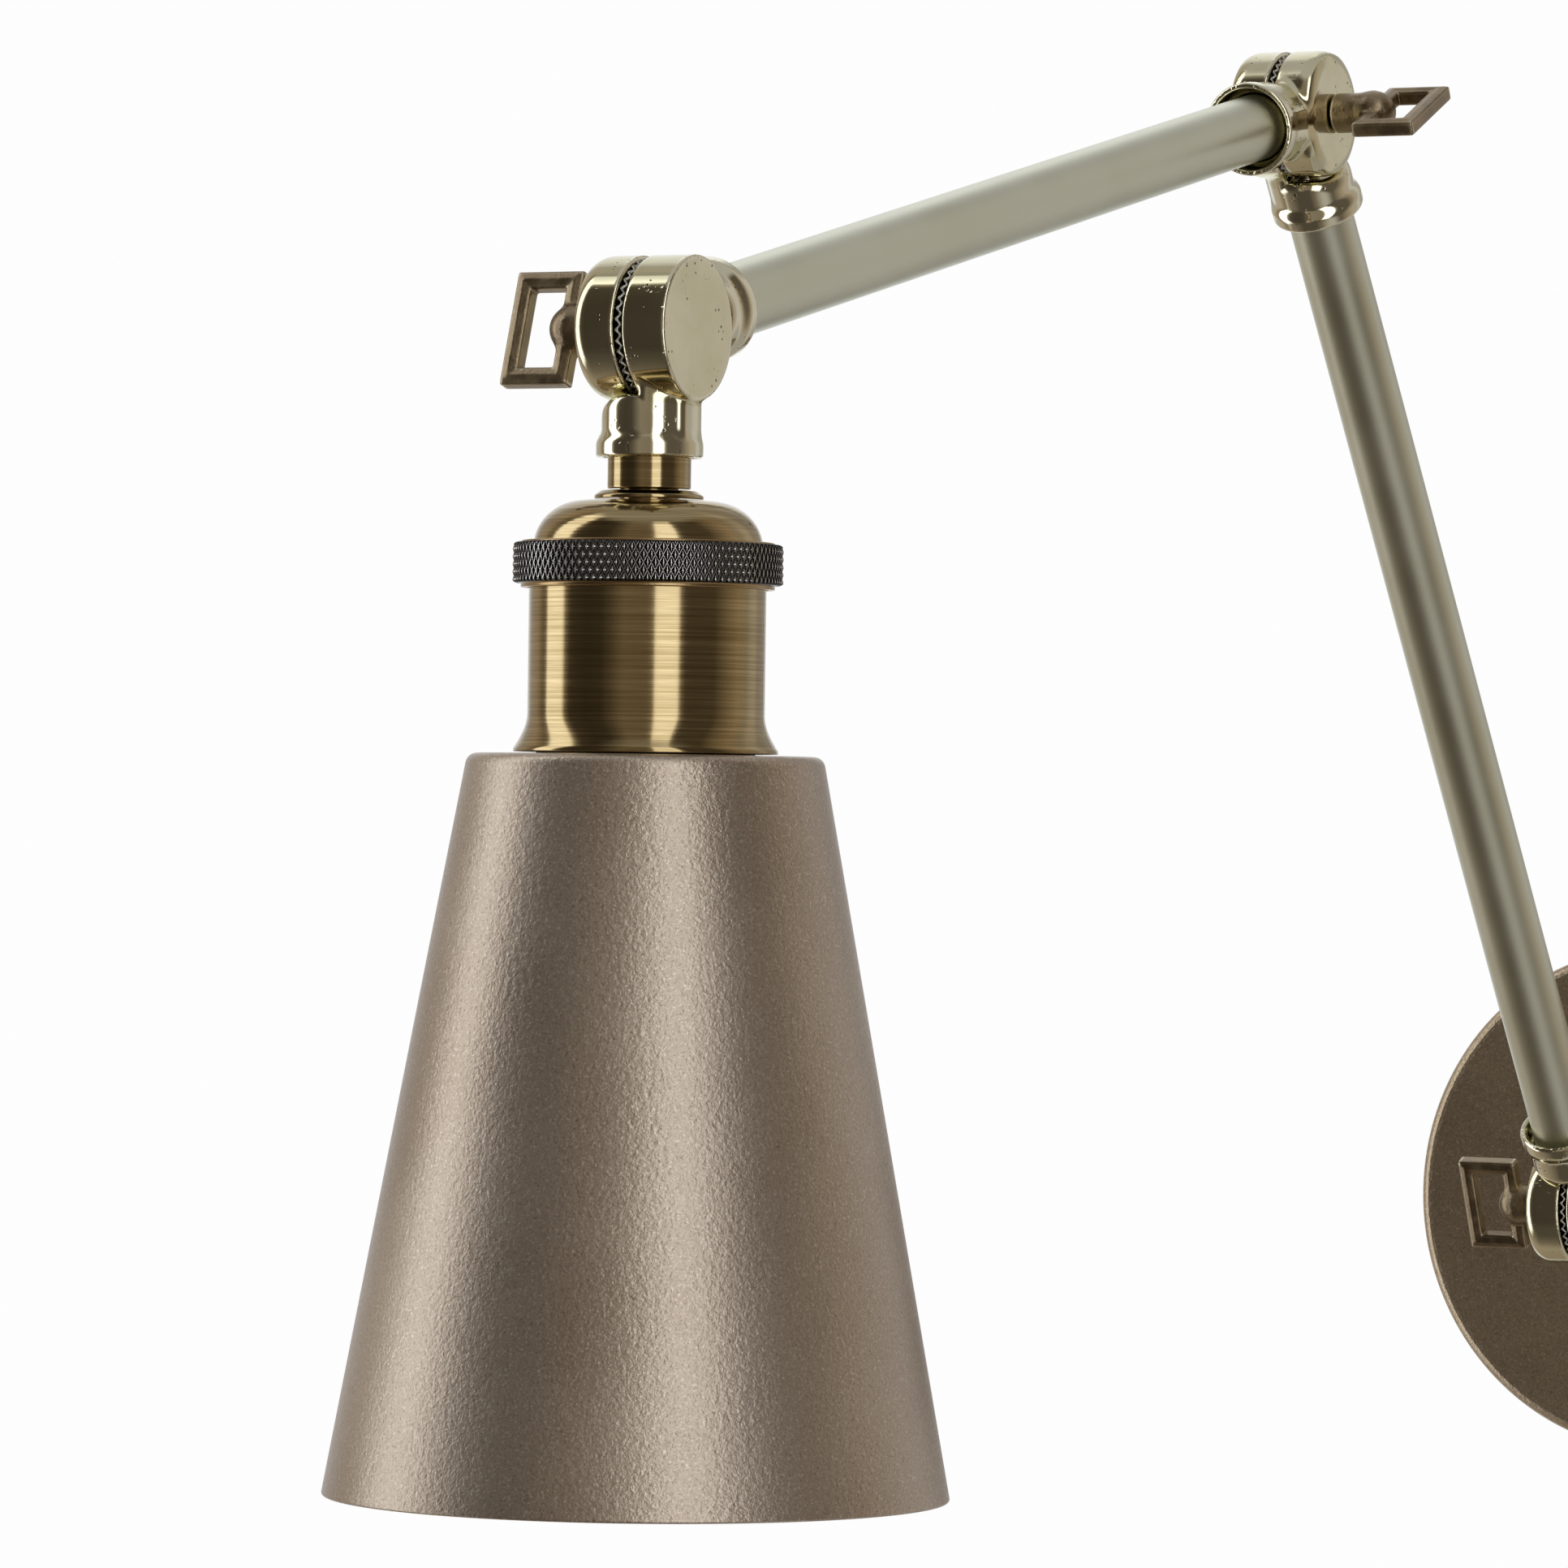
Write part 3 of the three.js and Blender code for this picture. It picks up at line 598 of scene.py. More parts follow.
def turnedPiece(name, corners, place, look, body, replaced, closed=True, steps=160):
    profile = outline(corners, closed)
    faces = gridFaces(len(profile), steps, closeRows=closed)
    makePiece(name, turnedPoints(profile, steps), faces, place, look, body, replaced)


def smoothMax(a, b, k):
    # the larger of two, with the crease between them rounded over a width k
    h = np.clip(k - np.abs(a - b), 0, None) / k
    return np.maximum(a, b) + h * h * k / 4


def smoothMin(a, b, k):
    return -smoothMax(-a, -b, k)


skin = {"rounds": 5, "probe": 1e-3, "stray": 0.75, "reach": 3, "flat": 1e-9}


def slopeOf(field, points, value):
    # how much the field changes over a small step along each axis
    return np.stack([field(points + step) - value for step in np.eye(3) * skin["probe"]], -1)


def levelSurface(field, low, high, cell):
    # The surface where field(p) = 0. Each grid cell that the surface crosses gets one point, moved onto the
    # surface along the field's slope, and each grid edge that it crosses gets a quad of its four cells.
    axes = [np.arange(a - cell, b + 2 * cell, cell) for a, b in zip(low, high)]
    grid = np.stack(np.meshgrid(*axes, indexing="ij"), -1)
    inside = field(grid) < 0
    count = sum(inside[i:i - 1 or None, j:j - 1 or None, k:k - 1 or None].astype(np.int8)
                for i in (0, 1) for j in (0, 1) for k in (0, 1))
    mixed = (count > 0) & (count < 8)
    number = np.full(mixed.shape, -1)
    number[mixed] = np.arange(mixed.sum())
    middle = grid[:-1, :-1, :-1][mixed] + cell / 2
    points = middle.copy()
    for _ in range(skin["rounds"]):
        value = field(points)
        slope = slopeOf(field, points, value) / skin["probe"]
        points -= slope * (value / np.maximum((slope ** 2).sum(-1), skin["flat"]))[:, None]
        points = np.clip(points, middle - cell * skin["stray"], middle + cell * skin["stray"])
    faces = []
    for axis in range(3):
        turned = np.moveaxis(inside, axis, 0)
        cells = np.moveaxis(number, axis, 0)
        change = (turned[1:] != turned[:-1])[:, 1:-1, 1:-1]
        i, j, k = np.nonzero(change)
        quad = np.stack([cells[i, j, k], cells[i, j + 1, k], cells[i, j + 1, k + 1], cells[i, j, k + 1]], -1)
        flip = turned[:-1, 1:-1, 1:-1][change] != (axis == 1)
        quad[~flip] = quad[~flip][:, ::-1]
        faces.append(quad)
    return points, np.concatenate(faces), proudness(field, points, skin["reach"] * cell)


def proudness(field, points, reach):
    # how far the skin stands proud: the field grows slower than distance above a hollow, and shrinks slower
    # than distance below an edge, so both are read at one reach along the slope
    slope = slopeOf(field, points, field(points))
    slope *= reach / np.maximum(np.linalg.norm(slope, axis=1, keepdims=True), 1e-12)
    return 1 + field(points - slope) / reach - (1 - field(points + slope) / reach)


# Castings: the six knuckle halves and the three keys, as fields that are below zero inside the metal

knuckle = {
    "radius": 12.4, "end": 22.0, "seam": 0.9, "edge": 1.3, "faceEdge": 0.45, "blend": 1.6, "cell": 0.33,
    "collar": 8.25, "lip": 9.15, "lipTall": 2.2, "flareTall": 2.6, "lipEdge": 0.6, "start": 4.0,
    "mouth": 8.1, "mouthFoot": 7.4, "mouthDeep": 3.4, "relief": 0.8, "shoulder": 2.6, "seatOver": 1.5,
    "cheekHalf": 3.2, "cheekEdge": 0.7, "cheekInset": 1.0, "discBlend": 1.0, "screw": 2.9, "wireWay": 3.0,
    "blindWall": 2.8, "holeEdge": 0.5, "tubeGap": 0.3, "margin": 0.6,
}


def roundedBlock(edge, *sides):
    # distance to a block with rounded edges; each side is (distance from its middle, half its size)
    outside = [distance - (size - edge) for distance, size in sides]
    corner = np.sqrt(sum(np.clip(side, 0, None) ** 2 for side in outside))
    return corner + np.minimum(np.maximum.reduce(outside), 0) - edge


def knuckleField(side, blind, bore, softFace):
    k = knuckle
    half = boxOf("wall_knuckle_arm")[1][0]
    radius, end = k["radius"], k["end"]
    mouthSlope = (k["mouth"] - k["mouthFoot"]) / k["mouthDeep"]
    cheekFoot = end - k["lipTall"] - k["flareTall"] / 2

    def field(p):
        # a disc about x, joined by a fillet to a collar about z, which is flattened into a cheek on the
        # disc's side
        x, y, z = p[..., 0] * side, p[..., 1], p[..., 2]
        about, along = np.hypot(y, z), np.hypot(x, y)
        width = (np.abs(x - (half + k["seam"]) / 2), (half - k["seam"]) / 2)
        disc = roundedBlock(k["faceEdge"], (about, radius), width)
        if softFace:
            bevel = (about - radius + x - half + k["edge"]) * math.sqrt(0.5)
            disc = smoothMax(disc, bevel, k["edge"])
        share = np.clip((z - end + k["lipTall"] + k["flareTall"]) / k["flareTall"], 0, 1)
        flare = (k["lip"] - k["collar"]) * (0.5 - 0.5 * np.cos(math.pi * share))
        length = (np.abs(z - (end + k["start"]) / 2), (end - k["start"]) / 2)
        sleeve = roundedBlock(k["lipEdge"], (along - flare, k["collar"]), length)
        cheek = roundedBlock(k["cheekEdge"], (np.abs(y), k["cheekHalf"]),
                             (np.abs(x - half / 2), half / 2 - k["cheekInset"]),
                             (np.abs(z - cheekFoot / 2), cheekFoot / 2))
        collar = smoothMin(sleeve, cheek, k["blend"])
        sweep = np.maximum(about - radius - k["relief"], x - k["seam"] - k["relief"] / 4)
        collar = smoothMax(collar, -sweep, k["shoulder"])
        body = smoothMin(disc, collar, k["discBlend"])
        mouth = np.maximum(k["mouth"] - (end - z) * mouthSlope, bore)
        screwHole = about - k["screw"]
        if blind:
            screwHole = np.maximum(screwHole, x - half + k["blindWall"])
        tubeHole = np.maximum(along - bore, radius + k["seatOver"] - z)
        mouthHole = np.maximum(along - mouth, end - k["mouthDeep"] - z)
        wireHole = np.maximum(along - k["wireWay"], -z)
        for hole in (tubeHole, mouthHole, wireHole, screwHole):
            body = smoothMax(body, -hole, k["holeEdge"])
        return body

    reach, deep = k["lip"] + k["margin"], radius + k["margin"]
    return field, np.array([-reach, -deep, -deep]), np.array([reach, deep, end + k["margin"]])


def addKnuckles():
    tube = spanOf("stem_tube")[0] / 2
    neck = spanOf("socket_neck")[0] / 2
    table = [
        ("wallKnuckleFixed", "wall_knuckle_fixed", stemFrame, "stem", -1, False, tube),
        ("wallKnuckleArm", "wall_knuckle_arm", lowerFrame, "lower_arm", 1, True, tube),
        ("elbowKnuckleLower", "elbow_knuckle_lower", lowerEndFrame, "lower_arm", -1, True, tube),
        ("elbowKnuckleUpper", "elbow_knuckle_upper", upperFrame, "upper_arm", 1, False, tube),
        ("headKnuckleArm", "head_knuckle_arm", upperEndFrame, "upper_arm", -1, False, tube),
        ("headKnuckleSocket", "head_knuckle_socket", headFrame, "head", 1, True, neck),
    ]
    for name, node, place, body, side, blind, held in table:
        softFace = node != "head_knuckle_socket"
        field, low, high = knuckleField(side, blind, held + knuckle["tubeGap"], softFace)
        points, faces, proud = levelSurface(field, low, high, knuckle["cell"])
        makePiece(name, points, faces, place, "polishedBrass", body, [node], proud)


addKnuckles()
print("knuckles cast")

key = {
    "loopLong": 20.6, "loopWide": 13, "bar": 3.1, "thick": 3.6, "ridge": 0.3, "edge": 0.45, "stem": 3.9,
    "boss": 4.2, "bossIn": 0.9, "neck": 2.4, "engage": 5.4, "cell": 0.25, "gap": 0.3, "blend": 1.0,
    "postEdge": 0.4, "postSink": 0.5, "shankSink": 1.0, "shankBlend": 0.3, "farBar": 1.0, "margin": 0.5,
}


def keyField(node, side):
    k = key
    face = boxOf("wall_knuckle_arm")[1][0]
    low, high = boxOf(node)
    start = max(-low[0], high[0]) - k["loopWide"]
    middle = start + k["loopWide"] / 2
    sink = k["postSink"]

    def field(p):
        # a rectangular ring of ridged bars with mitred corners, a ball boss on a round post, and the screw
        x, y, z = p[..., 0] * side, p[..., 1], p[..., 2]
        about = np.hypot(y, z)
        across = smoothMax(np.abs(x - middle) - (k["loopWide"] - k["bar"]) / 2,
                           np.abs(z) - (k["loopLong"] - k["bar"]) / 2, k["edge"])
        slant = (np.abs(y) + k["ridge"] * np.abs(across) - k["thick"] / 2) / math.hypot(1, k["ridge"])
        bar = smoothMax(np.abs(across) - k["bar"] / 2, slant, k["edge"])
        ball = np.sqrt((x - start - k["bossIn"]) ** 2 + about ** 2) - k["boss"]
        length = (np.abs(x - (start + face + k["gap"]) / 2 - sink), (start - face - k["gap"]) / 2 + sink)
        post = roundedBlock(k["postEdge"], (about, k["stem"]), length)
        sunk = np.abs(x - (face - k["engage"]) / 2) - (face + k["engage"]) / 2 - k["shankSink"]
        shank = np.maximum(about - k["neck"], sunk)
        grip = smoothMin(bar, smoothMin(ball, post, k["blend"]), k["blend"])
        return smoothMin(grip, shank, k["shankBlend"])

    wide, tall = k["boss"] + k["margin"], k["loopLong"] / 2 + k["margin"]
    low = np.array([-k["engage"] - k["shankSink"] - k["margin"], -wide, -tall])
    high = np.array([start + k["loopWide"] + k["margin"], wide, tall])
    if side < 0:
        low[0], high[0] = -high[0], -low[0]
    return field, low, high


def keyFrame(node, pivot):
    # local z is the key's long side, found from the frame: the loop's far bar runs along it
    spots = spotsOf(node)
    out = np.abs(spots[:, 0])
    far = spots[out > out.max() - key["farBar"]][:, 1:] - pivot[1:]
    _, axes = np.linalg.eigh(far.T @ far)
    return localFrame(pivot, [0, *axes[:, 1]])


def addKeys():
    table = [("wallKey", "wall_key", wallPivot, -1), ("elbowKey", "elbow_key", elbowPivot, 1),
             ("headKey", "head_key", headPivot, -1)]
    for name, node, pivot, side in table:
        field, low, high = keyField(node, side)
        points, faces, proud = levelSurface(field, low, high, key["cell"])
        makePiece(name, points, faces, keyFrame(node, pivot), "castBrass", node, [node], proud)


addKeys()
print("keys cast")

# Arms, stem and star washers

arms = {"wall": 1.0, "edge": 0.3, "steps": 128, "cableEdge": 0.2, "cableSteps": 32}


def alongFrame(node, place):
    # where a node starts and ends along the local z of a frame
    depth = (spotsOf(node) - place[0]) @ place[1][2]
    return depth.min(), depth.max()


def addTube(name, node, place, body):
    low, high = alongFrame(node, place)
    outer, edge = spanOf(node)[0] / 2, arms["edge"]
    inner = outer - arms["wall"]
    corners = [(inner, low, edge), (outer, low, edge), (outer, high, edge), (inner, high, edge)]
    turnedPiece(name, corners, place, "paleBrass", body, [node], steps=arms["steps"])


def addCable(name, node, place, body):
    low, high = alongFrame(node, place)
    radius, edge = spanOf(node)[0] / 2, arms["cableEdge"]
    corners = [(0, low), (radius, low, edge), (radius, high, edge), (0, high)]
    turnedPiece(name, corners, place, "sleeveBlack", body, [node], closed=False, steps=arms["cableSteps"])


addTube("stemTube", "stem_tube", stemFrame, "stem")
addTube("lowerArmTube", "lower_arm_tube", lowerFrame, "lower_arm")
addTube("upperArmTube", "upper_arm_tube", upperFrame, "upper_arm")
addCable("stemCable", "stem_cable", stemFrame, "stem")
addCable("lowerArmCable", "lower_arm_cable", lowerFrame, "lower_arm")
addCable("upperArmCable", "upper_arm_cable", upperFrame, "upper_arm")
addCable("headCable", "head_cable", headFrame, "head")

washer = {
    "radius": 12.0, "bore": 3.0, "thick": 0.34, "lift": 0.34, "rim": 3.0, "count": 40, "samples": 8,
    "deep": 0.2, "toothTall": 1.0, "root": 1.2, "middle": 0.6, "hold": 0.3,
}


def addStarWasher(name, node, place, body):
    # a ring whose rim waves from side to side: x = lift * cos(count * turn) near the rim, 0 further in
    w = washer
    outer, steps = w["radius"], w["count"] * w["samples"]
    turn = np.arange(steps) / steps * w["count"]
    wave = np.cos(2 * math.pi * turn)
    rings = [w["bore"], w["bore"] + w["hold"], outer - w["rim"], outer - w["root"], outer - w["middle"],
             outer]
    radii = np.array(rings)[:, None]
    radii = radii - w["deep"] * (0.5 + 0.5 * wave) * (radii > outer - w["toothTall"])
    sway = w["lift"] * wave * np.clip((radii - outer + w["rim"]) / w["rim"], 0, 1)
    angle = np.arange(steps) * 2 * math.pi / steps
    front, back = (np.stack([sway + half, radii * np.cos(angle), radii * np.sin(angle)], -1)
                   for half in (w["thick"] / 2, -w["thick"] / 2))
    points = np.concatenate([front, back[::-1]])
    makePiece(name, points, gridFaces(len(points), steps, closeRows=True), place, "zincSteel", body, [node])


addStarWasher("wallStarWasher", "wall_star_washer", lowerFrame, "lower_arm")
addStarWasher("elbowStarWasher", "elbow_star_washer", lowerEndFrame, "lower_arm")
addStarWasher("headStarWasher", "head_star_washer", headFrame, "head")
print("arms made")

# Head: heights run down from the head pivot

head = {
    "fit": 0.3, "edge": 0.3, "fineEdge": 0.2, "neckBore": 3.5, "nipple": 5.0,
    "flangeInset": 1.1, "flangeDrop": 0.8, "flangeEdge": 0.5,
    "capWall": 1.0, "capRoundWide": 8.5, "capRound": 8.0, "capArc": 22, "steps": 224,
    "shellWall": 1.0, "shellOut": 0.65, "flareTall": 6.1, "flareEdge": 0.5, "flareArc": 16, "footEdge": 0.15,
    "shadeWall": 1.0, "shadeTop": 30.2, "shadeRound": 2.0, "hem": 0.45, "shadeSteps": 320,
}


def headFit(node):
    # a head node's top and foot below the head pivot, and its radius
    low, high = boxOf(node)
    return headPivot[2] - high[2], headPivot[2] - low[2], (high[0] - low[0]) / 2


def addNeck():
    h = head
    bore, nipple, edge, fine = h["neckBore"], h["nipple"], h["edge"], h["fineEdge"]
    top, foot, radius = headFit("socket_neck")
    step = headFit("neck_flange")[0] - h["fit"]
    corners = [(bore, top, fine), (radius, top, edge), (radius, step, edge), (nipple, step),
               (nipple, foot, edge), (bore, foot, fine)]
    turnedPiece("socketNeck", corners, headFrame, "brushedBrass", "head", ["socket_neck"])


def addFlange():
    h = head
    top, foot, radius = headFit("neck_flange")
    hole, fine = h["nipple"] + h["fit"], h["fineEdge"]
    corners = [(hole, top), (radius - h["flangeInset"], top, fine),
               (radius, top + h["flangeDrop"], h["flangeEdge"]), (radius, foot, fine), (hole, foot)]
    turnedPiece("neckFlange", corners, headFrame, "brushedBrass", "head", ["neck_flange"])


def addCap():
    # a flat crown, a quarter-ellipse shoulder and a straight skirt, as one wall
    h = head
    top, foot, radius = headFit("socket_cap")
    hole, wall, edge = h["nipple"] + h["fit"], h["capWall"], h["edge"]
    t = np.linspace(0, math.pi / 2, h["capArc"])

    def dome(shift):
        across = (h["capRoundWide"] - shift / 2) * np.sin(t)
        down = top + h["capRound"] - (h["capRound"] - shift) * np.cos(t)
        return list(zip(radius - h["capRoundWide"] - shift / 2 + across, down))

    corners = [(hole, top)] + dome(0) + [(radius, foot, edge), (radius - wall, foot, edge)]
    corners += dome(wall)[::-1] + [(hole, top + wall)]
    turnedPiece("socketCap", corners, headFrame, "brushedBrass", "head", ["socket_cap"], steps=h["steps"])


def addShell():
    # straight, then a quarter-sine flare down to the shade
    h = head
    top, foot, flare = headFit("socket_shell")
    radius = headFit("socket_cap")[2] + h["shellOut"]
    wall, fine, footEdge = h["shellWall"], h["fineEdge"], h["footEdge"]
    t = np.linspace(0, 1, h["flareArc"])
    flareTop = foot - h["flareEdge"] - h["flareTall"]

    def curve(shift):
        across = radius - shift + (flare - radius) * (1 - np.cos(t * math.pi / 2))
        return list(zip(across, flareTop + t * h["flareTall"]))

    corners = [(radius, top, fine)] + curve(0) + [(flare, foot, footEdge), (flare - wall, foot, footEdge)]
    corners += curve(wall)[::-1] + [(radius - wall, top, fine)]
    turnedPiece("socketShell", corners, headFrame, "brushedBrass", "head", ["socket_shell"],
                steps=h["steps"])


def addShade():
    # an open cone with a flat top, one wall thick
    h = head
    top, foot, radius = headFit("shade")
    hole = headFit("socket_liner")[2] + h["fit"]
    topRadius, wall = h["shadeTop"], h["shadeWall"]
    slope = math.atan2(radius - topRadius, foot - top)
    inside = wall / math.cos(slope)
    innerTop = topRadius + wall * math.tan(slope) - inside
    corners = [(hole, top), (topRadius, top, h["shadeRound"]), (radius, foot, h["hem"]),
               (radius - inside, foot, h["hem"]), (innerTop, top + wall, h["shadeRound"] - wall),
               (hole, top + wall)]
    turnedPiece("shadeCone", corners, headFrame, "bronzePaint", "head", ["shade"], steps=h["shadeSteps"])


# Socket: what is under the shade

socket = {
    "edge": 0.3, "hold": 0.2, "steps": 192, "step": 0.25,
    "hole": 3.0, "floor": 5.0, "floorEdge": 0.5, "mouthEdge": 0.6, "slack": 0.4,
    "linerPitch": 2.2, "linerDepth": 0.5, "linerPlain": 0.8, "linerWall": 1,
    "shellWall": 0.7, "shellHole": 5.5, "shellHem": 0.1, "shellCrown": 0.8,
    "shellPitch": 3.6, "shellDepth": 1.0, "shellPlain": 1,
    "flutes": 36, "fluteDepth": 0.7, "fluteSharp": 8, "fluteOut": 2, "nutGap": 0.3, "nutTopEdge": 0.2,
    "nutEdge": 0.4, "nutRound": 0.7, "nutSteps": 360, "contactRound": 1.2, "contactSteps": 64,
}


def shapedPiece(name, corners, look, node, change, steps=socket["steps"]):
    # a turned piece in the head whose radius is then changed by a function of (radius, height, turn)
    profile = outline(corners, True, socket["hold"])
    points = turnedPoints(profile, steps)
    radius, height = profile[:, 0:1], profile[:, 1:2]
    turn = np.arange(steps) * 2 * math.pi / steps
    points[..., :2] *= (change(radius, height, turn) / radius)[..., None]
    faces = gridFaces(len(profile), steps, closeRows=True)
    makePiece(name, points, faces, headFrame, look, "head", [node])


def straightWall(radius, start, end):
    # corners down or up a straight wall, close enough together to carry a thread
    return [(radius, z) for z in np.arange(start, end, socket["step"] * np.sign(end - start))]


def thread(first, last, pitch, depth, above=0.0):
    # a screw thread: radius - depth * (1 + cos(turn + 2 pi height / pitch)) / 2, faded out at both ends
    def change(radius, height, turn):
        fade = np.clip(np.minimum(height - first, last - height) / pitch, 0, 1) * (radius > above)
        return radius - depth * fade * (0.5 + 0.5 * np.cos(turn + 2 * math.pi * height / pitch))
    return change


def addLiner():
    s = socket
    top, foot, radius = headFit("socket_liner")
    nutTop = headFit("shade_nut")[0]
    bore, floor, edge = headFit("contact_shell")[2] + s["slack"], top + s["floor"], s["edge"]
    corners = [(s["hole"], top), (radius, top, edge)] + straightWall(radius, nutTop, foot - s["linerPlain"])
    corners += [(radius, foot, edge), (bore, foot, s["mouthEdge"]), (bore, floor, s["floorEdge"]),
                (s["hole"], floor)]
    cut = thread(nutTop, foot, s["linerPitch"], s["linerDepth"], bore + s["linerWall"])
    shapedPiece("socketLiner", corners, "phenolic", "socket_liner", cut)


def addContactShell():
    s = socket
    top, foot, radius = headFit("contact_shell")
    corners = [(s["shellHole"], top)] + straightWall(radius, top + s["shellHem"], foot - s["shellHem"])
    corners += [(radius, foot)] + straightWall(radius - s["shellWall"], foot, top + s["shellCrown"])
    corners.append((s["shellHole"], top + s["shellWall"]))
    cut = thread(top + s["shellPlain"], foot, s["shellPitch"], s["shellDepth"])
    shapedPiece("contactShell", corners, "contactBrass", "contact_shell", cut)


def addShadeNut():
    s = socket
    linerRadius = headFit("socket_liner")[2]
    top, foot, radius = headFit("shade_nut")
    bore = linerRadius + s["nutGap"]

    def flutes(r, z, turn):
        # grooves down the outside: radius - depth * |sin(flutes * turn / 2)| ^ sharp
        groove = np.abs(np.sin(turn * s["flutes"] / 2)) ** s["fluteSharp"]
        return r - s["fluteDepth"] * (r > linerRadius + s["fluteOut"]) * groove

    corners = [(bore, top, s["nutTopEdge"]), (radius, top, s["nutEdge"]), (radius, foot, s["nutRound"]),
               (bore, foot, s["nutEdge"])]
    shapedPiece("shadeNut", corners, "phenolic", "shade_nut", flutes, s["nutSteps"])


def addCentreContact():
    s = socket
    top, foot, radius = headFit("centre_contact")
    corners = [(0, top), (radius, top, s["edge"]), (radius, foot, s["contactRound"]), (0, foot)]
    turnedPiece("centreContact", corners, headFrame, "contactBrass", "head", ["centre_contact"],
                closed=False, steps=s["contactSteps"])


addNeck()
addFlange()
addCap()
addShell()
addShade()
addLiner()
addContactShell()
addShadeNut()
addCentreContact()

knurl = {
    "count": 108, "samples": 10, "rows": 54, "tall": 2.6, "deep": 0.45, "flank": 0.4, "flankDrop": 0.5,
    "topLip": 0.35, "footLip": 0.75, "lipIn": 1.4, "lipEdge": 0.25, "edge": 0.1, "boreIn": 2.0, "seat": 0.7,
    "ridge": 0.22, "ridgeGain": 2, "ridgeFrom": 0.6, "groove": 0.16, "grooveShine": 0.8,
}


def zigzag(s):
    # 1 at each whole number, falling to 0 half way between them
    return np.abs(2 * (s - np.floor(s)) - 1)


def addClampRing():
    # The knurl's two families of grooves wind opposite ways, s = turn + height and s = turn - height, and
    # the surface follows the deeper one: depth * (1 - min(zigzag(turn + height), zigzag(turn - height))).
    k = knurl
    top, foot, radius = headFit("clamp_ring")
    lip = radius - k["lipIn"]
    inner = headFit("socket_shell")[2] - k["boreIn"]
    seat, edge, lipEdge = inner - k["seat"], k["edge"], k["lipEdge"]
    steps = k["count"] * k["samples"]
    angle = np.arange(steps) * 2 * math.pi / steps
    turn = np.arange(steps) / k["samples"]
    first, last = top + k["topLip"], foot - k["footLip"]
    z = np.linspace(first, last, k["rows"])[:, None]
    one, other = zigzag(turn + z / k["tall"]), zigzag(turn - z / k["tall"])
    pattern = np.minimum(one, other)
    # painted highlight, with wear: thin lines along each pyramid's ridge and along the groove lines, kept in
    # the proud attribute
    ridge = np.clip(1 - np.abs(one - other) / k["ridge"], 0, 1)
    ridge = ridge * np.clip(pattern * k["ridgeGain"] - k["ridgeFrom"], 0, 1)
    rubAndHighlight = np.maximum(ridge, k["grooveShine"] * np.clip(1 - pattern / k["groove"], 0, 1))
    fade = np.clip(np.minimum(z - first, last - z) / k["flank"], 0, 1)
    r = radius - k["deep"] * (1 - pattern) - (1 - fade) ** 2 * k["flankDrop"]
    wall = outline([(lip - edge, first, edge), (lip, top, lipEdge), (seat, top, edge), (seat, first),
                    (inner, first), (inner, foot, edge), (lip, foot, lipEdge), (lip - edge, last, edge)])
    wall = wall[::-1]
    ones = np.ones(steps)
    rings = np.concatenate([r, wall[:, 0:1] * ones])
    heights = np.concatenate([z * ones, wall[:, 1:2] * ones])
    proud = np.concatenate([rubAndHighlight * fade, -np.ones((len(wall), steps))])
    points = np.stack([rings * np.cos(angle), rings * np.sin(angle), heights], -1)
    faces = gridFaces(len(points), steps, closeRows=True)
    makePiece("clampRing", points, faces, headFrame, "blackKnurl", "clamp_ring", ["clamp_ring"], proud)


addClampRing()
print("head made")

# Wall side: heights run out from the wall

plate = {
    "wall": 1.5, "edge": 3.0, "rimEdge": 0.3, "fit": 0.3, "steps": 320, "bushNeck": 8.6, "bushTall": 2.6,
    "bushEdge": 0.3, "bushShoulder": 1.2, "bushNeckEdge": 0.8, "bushMouth": 0.2,
}


def plateFit(node):
    # a wall-side node's back and front out from the wall, and its radius
    low, high = boxOf(node)
    return -high[1], -low[1], (high[0] - low[0]) / 2


def addPlate():
    p = plate
    back, front, radius = plateFit("backplate")
    hole, wall, edge = spanOf("stem_tube")[0] / 2 + p["fit"], p["wall"], p["rimEdge"]
    corners = [(radius, back, edge), (radius, front, p["edge"]), (hole, front), (hole, front - wall),
               (radius - wall, front - wall, p["edge"] - wall), (radius - wall, back, edge)]
    turnedPiece("backPlate", corners, plateFrame, "darkBronze", "wall_plate", ["backplate"],
                steps=p["steps"])


def addBush():
    p = plate
    back, front, radius = plateFit("stem_bush")
    hole = spanOf("stem_tube")[0] / 2 + p["fit"]
    corners = [(hole, back), (radius, back, p["bushEdge"]),
               (radius, back + p["bushTall"], p["bushShoulder"]),
               (p["bushNeck"], front, p["bushNeckEdge"]), (hole, front, p["bushMouth"])]
    turnedPiece("stemBush", corners, plateFrame, "paleBrass", "wall_plate", ["stem_bush"])


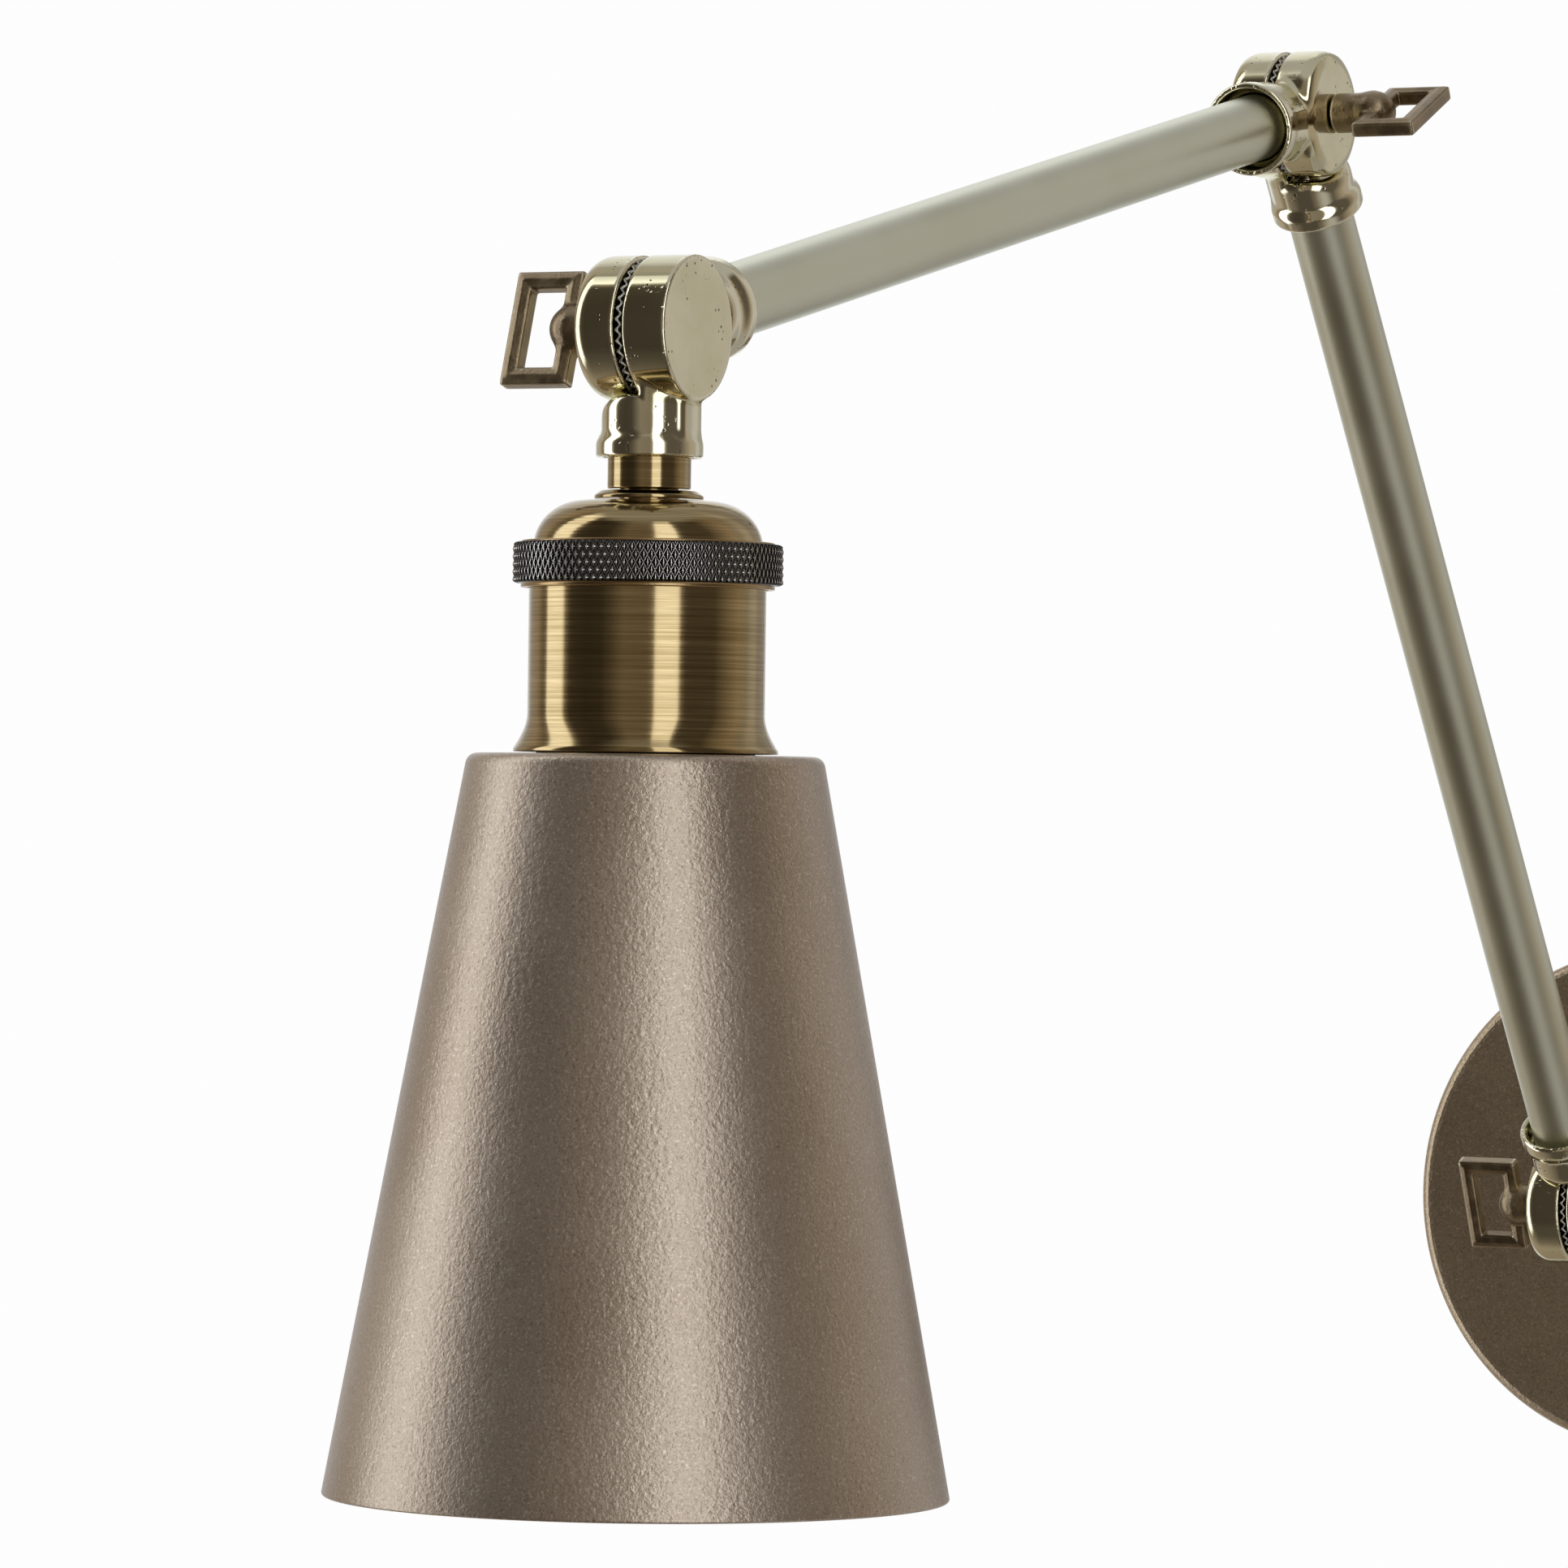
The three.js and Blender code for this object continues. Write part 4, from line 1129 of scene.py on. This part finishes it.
knob = {
    "screw": 2, "screwStart": 0.3, "screwEdge": 0.3, "gap": 0.3, "rimEdge": 0.4, "rimTall": 2.2,
    "rimRound": 0.7, "crown": 0.6, "crownRound": 1.6, "steps": 64,
}


def addFixings():
    # a screw, then a knob's rim on the plate and a crown that is a share of its radius
    k = knob
    seat = plateFit("backplate")[1] + k["gap"]
    for name, node in (("fixingKnobTop", "fixing_knob_top"), ("fixingKnobBottom", "fixing_knob_bottom")):
        low, high = boxOf(node)
        middle = (low + high) / 2
        front, radius = -low[1], (high[0] - low[0]) / 2
        place = (np.array([middle[0], 0, middle[2]]), plateFrame[1])
        corners = [(0, k["screwStart"]), (k["screw"], k["screwStart"], k["screwEdge"]), (k["screw"], seat),
                   (radius, seat, k["rimEdge"]), (radius, seat + k["rimTall"], k["rimRound"]),
                   (radius * k["crown"], front, k["crownRound"]), (0, front)]
        turnedPiece(name, corners, place, "polishedBrass", "wall_plate", [node], closed=False,
                    steps=k["steps"])


addPlate()
addBush()
addFixings()
print("wall side made")

# What stays as the frame has it takes its finish here

coats = {
    "crossbar": "zincSteel", "stem_washer": "zincSteel", "stem_nut": "zincSteel", "cap_nut": "zincSteel",
    "earth_screw": "earthGreen", "connector_live": "orangeCap", "connector_neutral": "orangeCap",
    "lead_live": "sleeveBlack", "lead_neutral": "sleeveWhite",
}

for node, look in coats.items():
    item = frame["nodes"][node]
    item.data.materials.clear()
    item.data.materials.append(finishes[look]["material"])


def addFloor():
    size, drop = studio["floorSize"], cadBox[0][2] - studio["floorDrop"]
    corners = [(-size, -size, drop), (size, -size, drop), (size, size, drop), (-size, size, drop)]
    mesh = bpy.data.meshes.new("floor")
    mesh.from_pydata(corners, [], [(0, 1, 2, 3)])
    material = bpy.data.materials.new("floor")
    material.use_nodes = True
    shader = material.node_tree.nodes["Principled BSDF"]
    shader.inputs["Base Color"].default_value = (*grey(studio["floorTone"]), 1)
    mesh.materials.append(material)
    item = bpy.data.objects.new("floor", mesh)
    item.visible_glossy = False
    bpy.context.scene.collection.objects.link(item)


addFloor()
print("materials and floor placed")
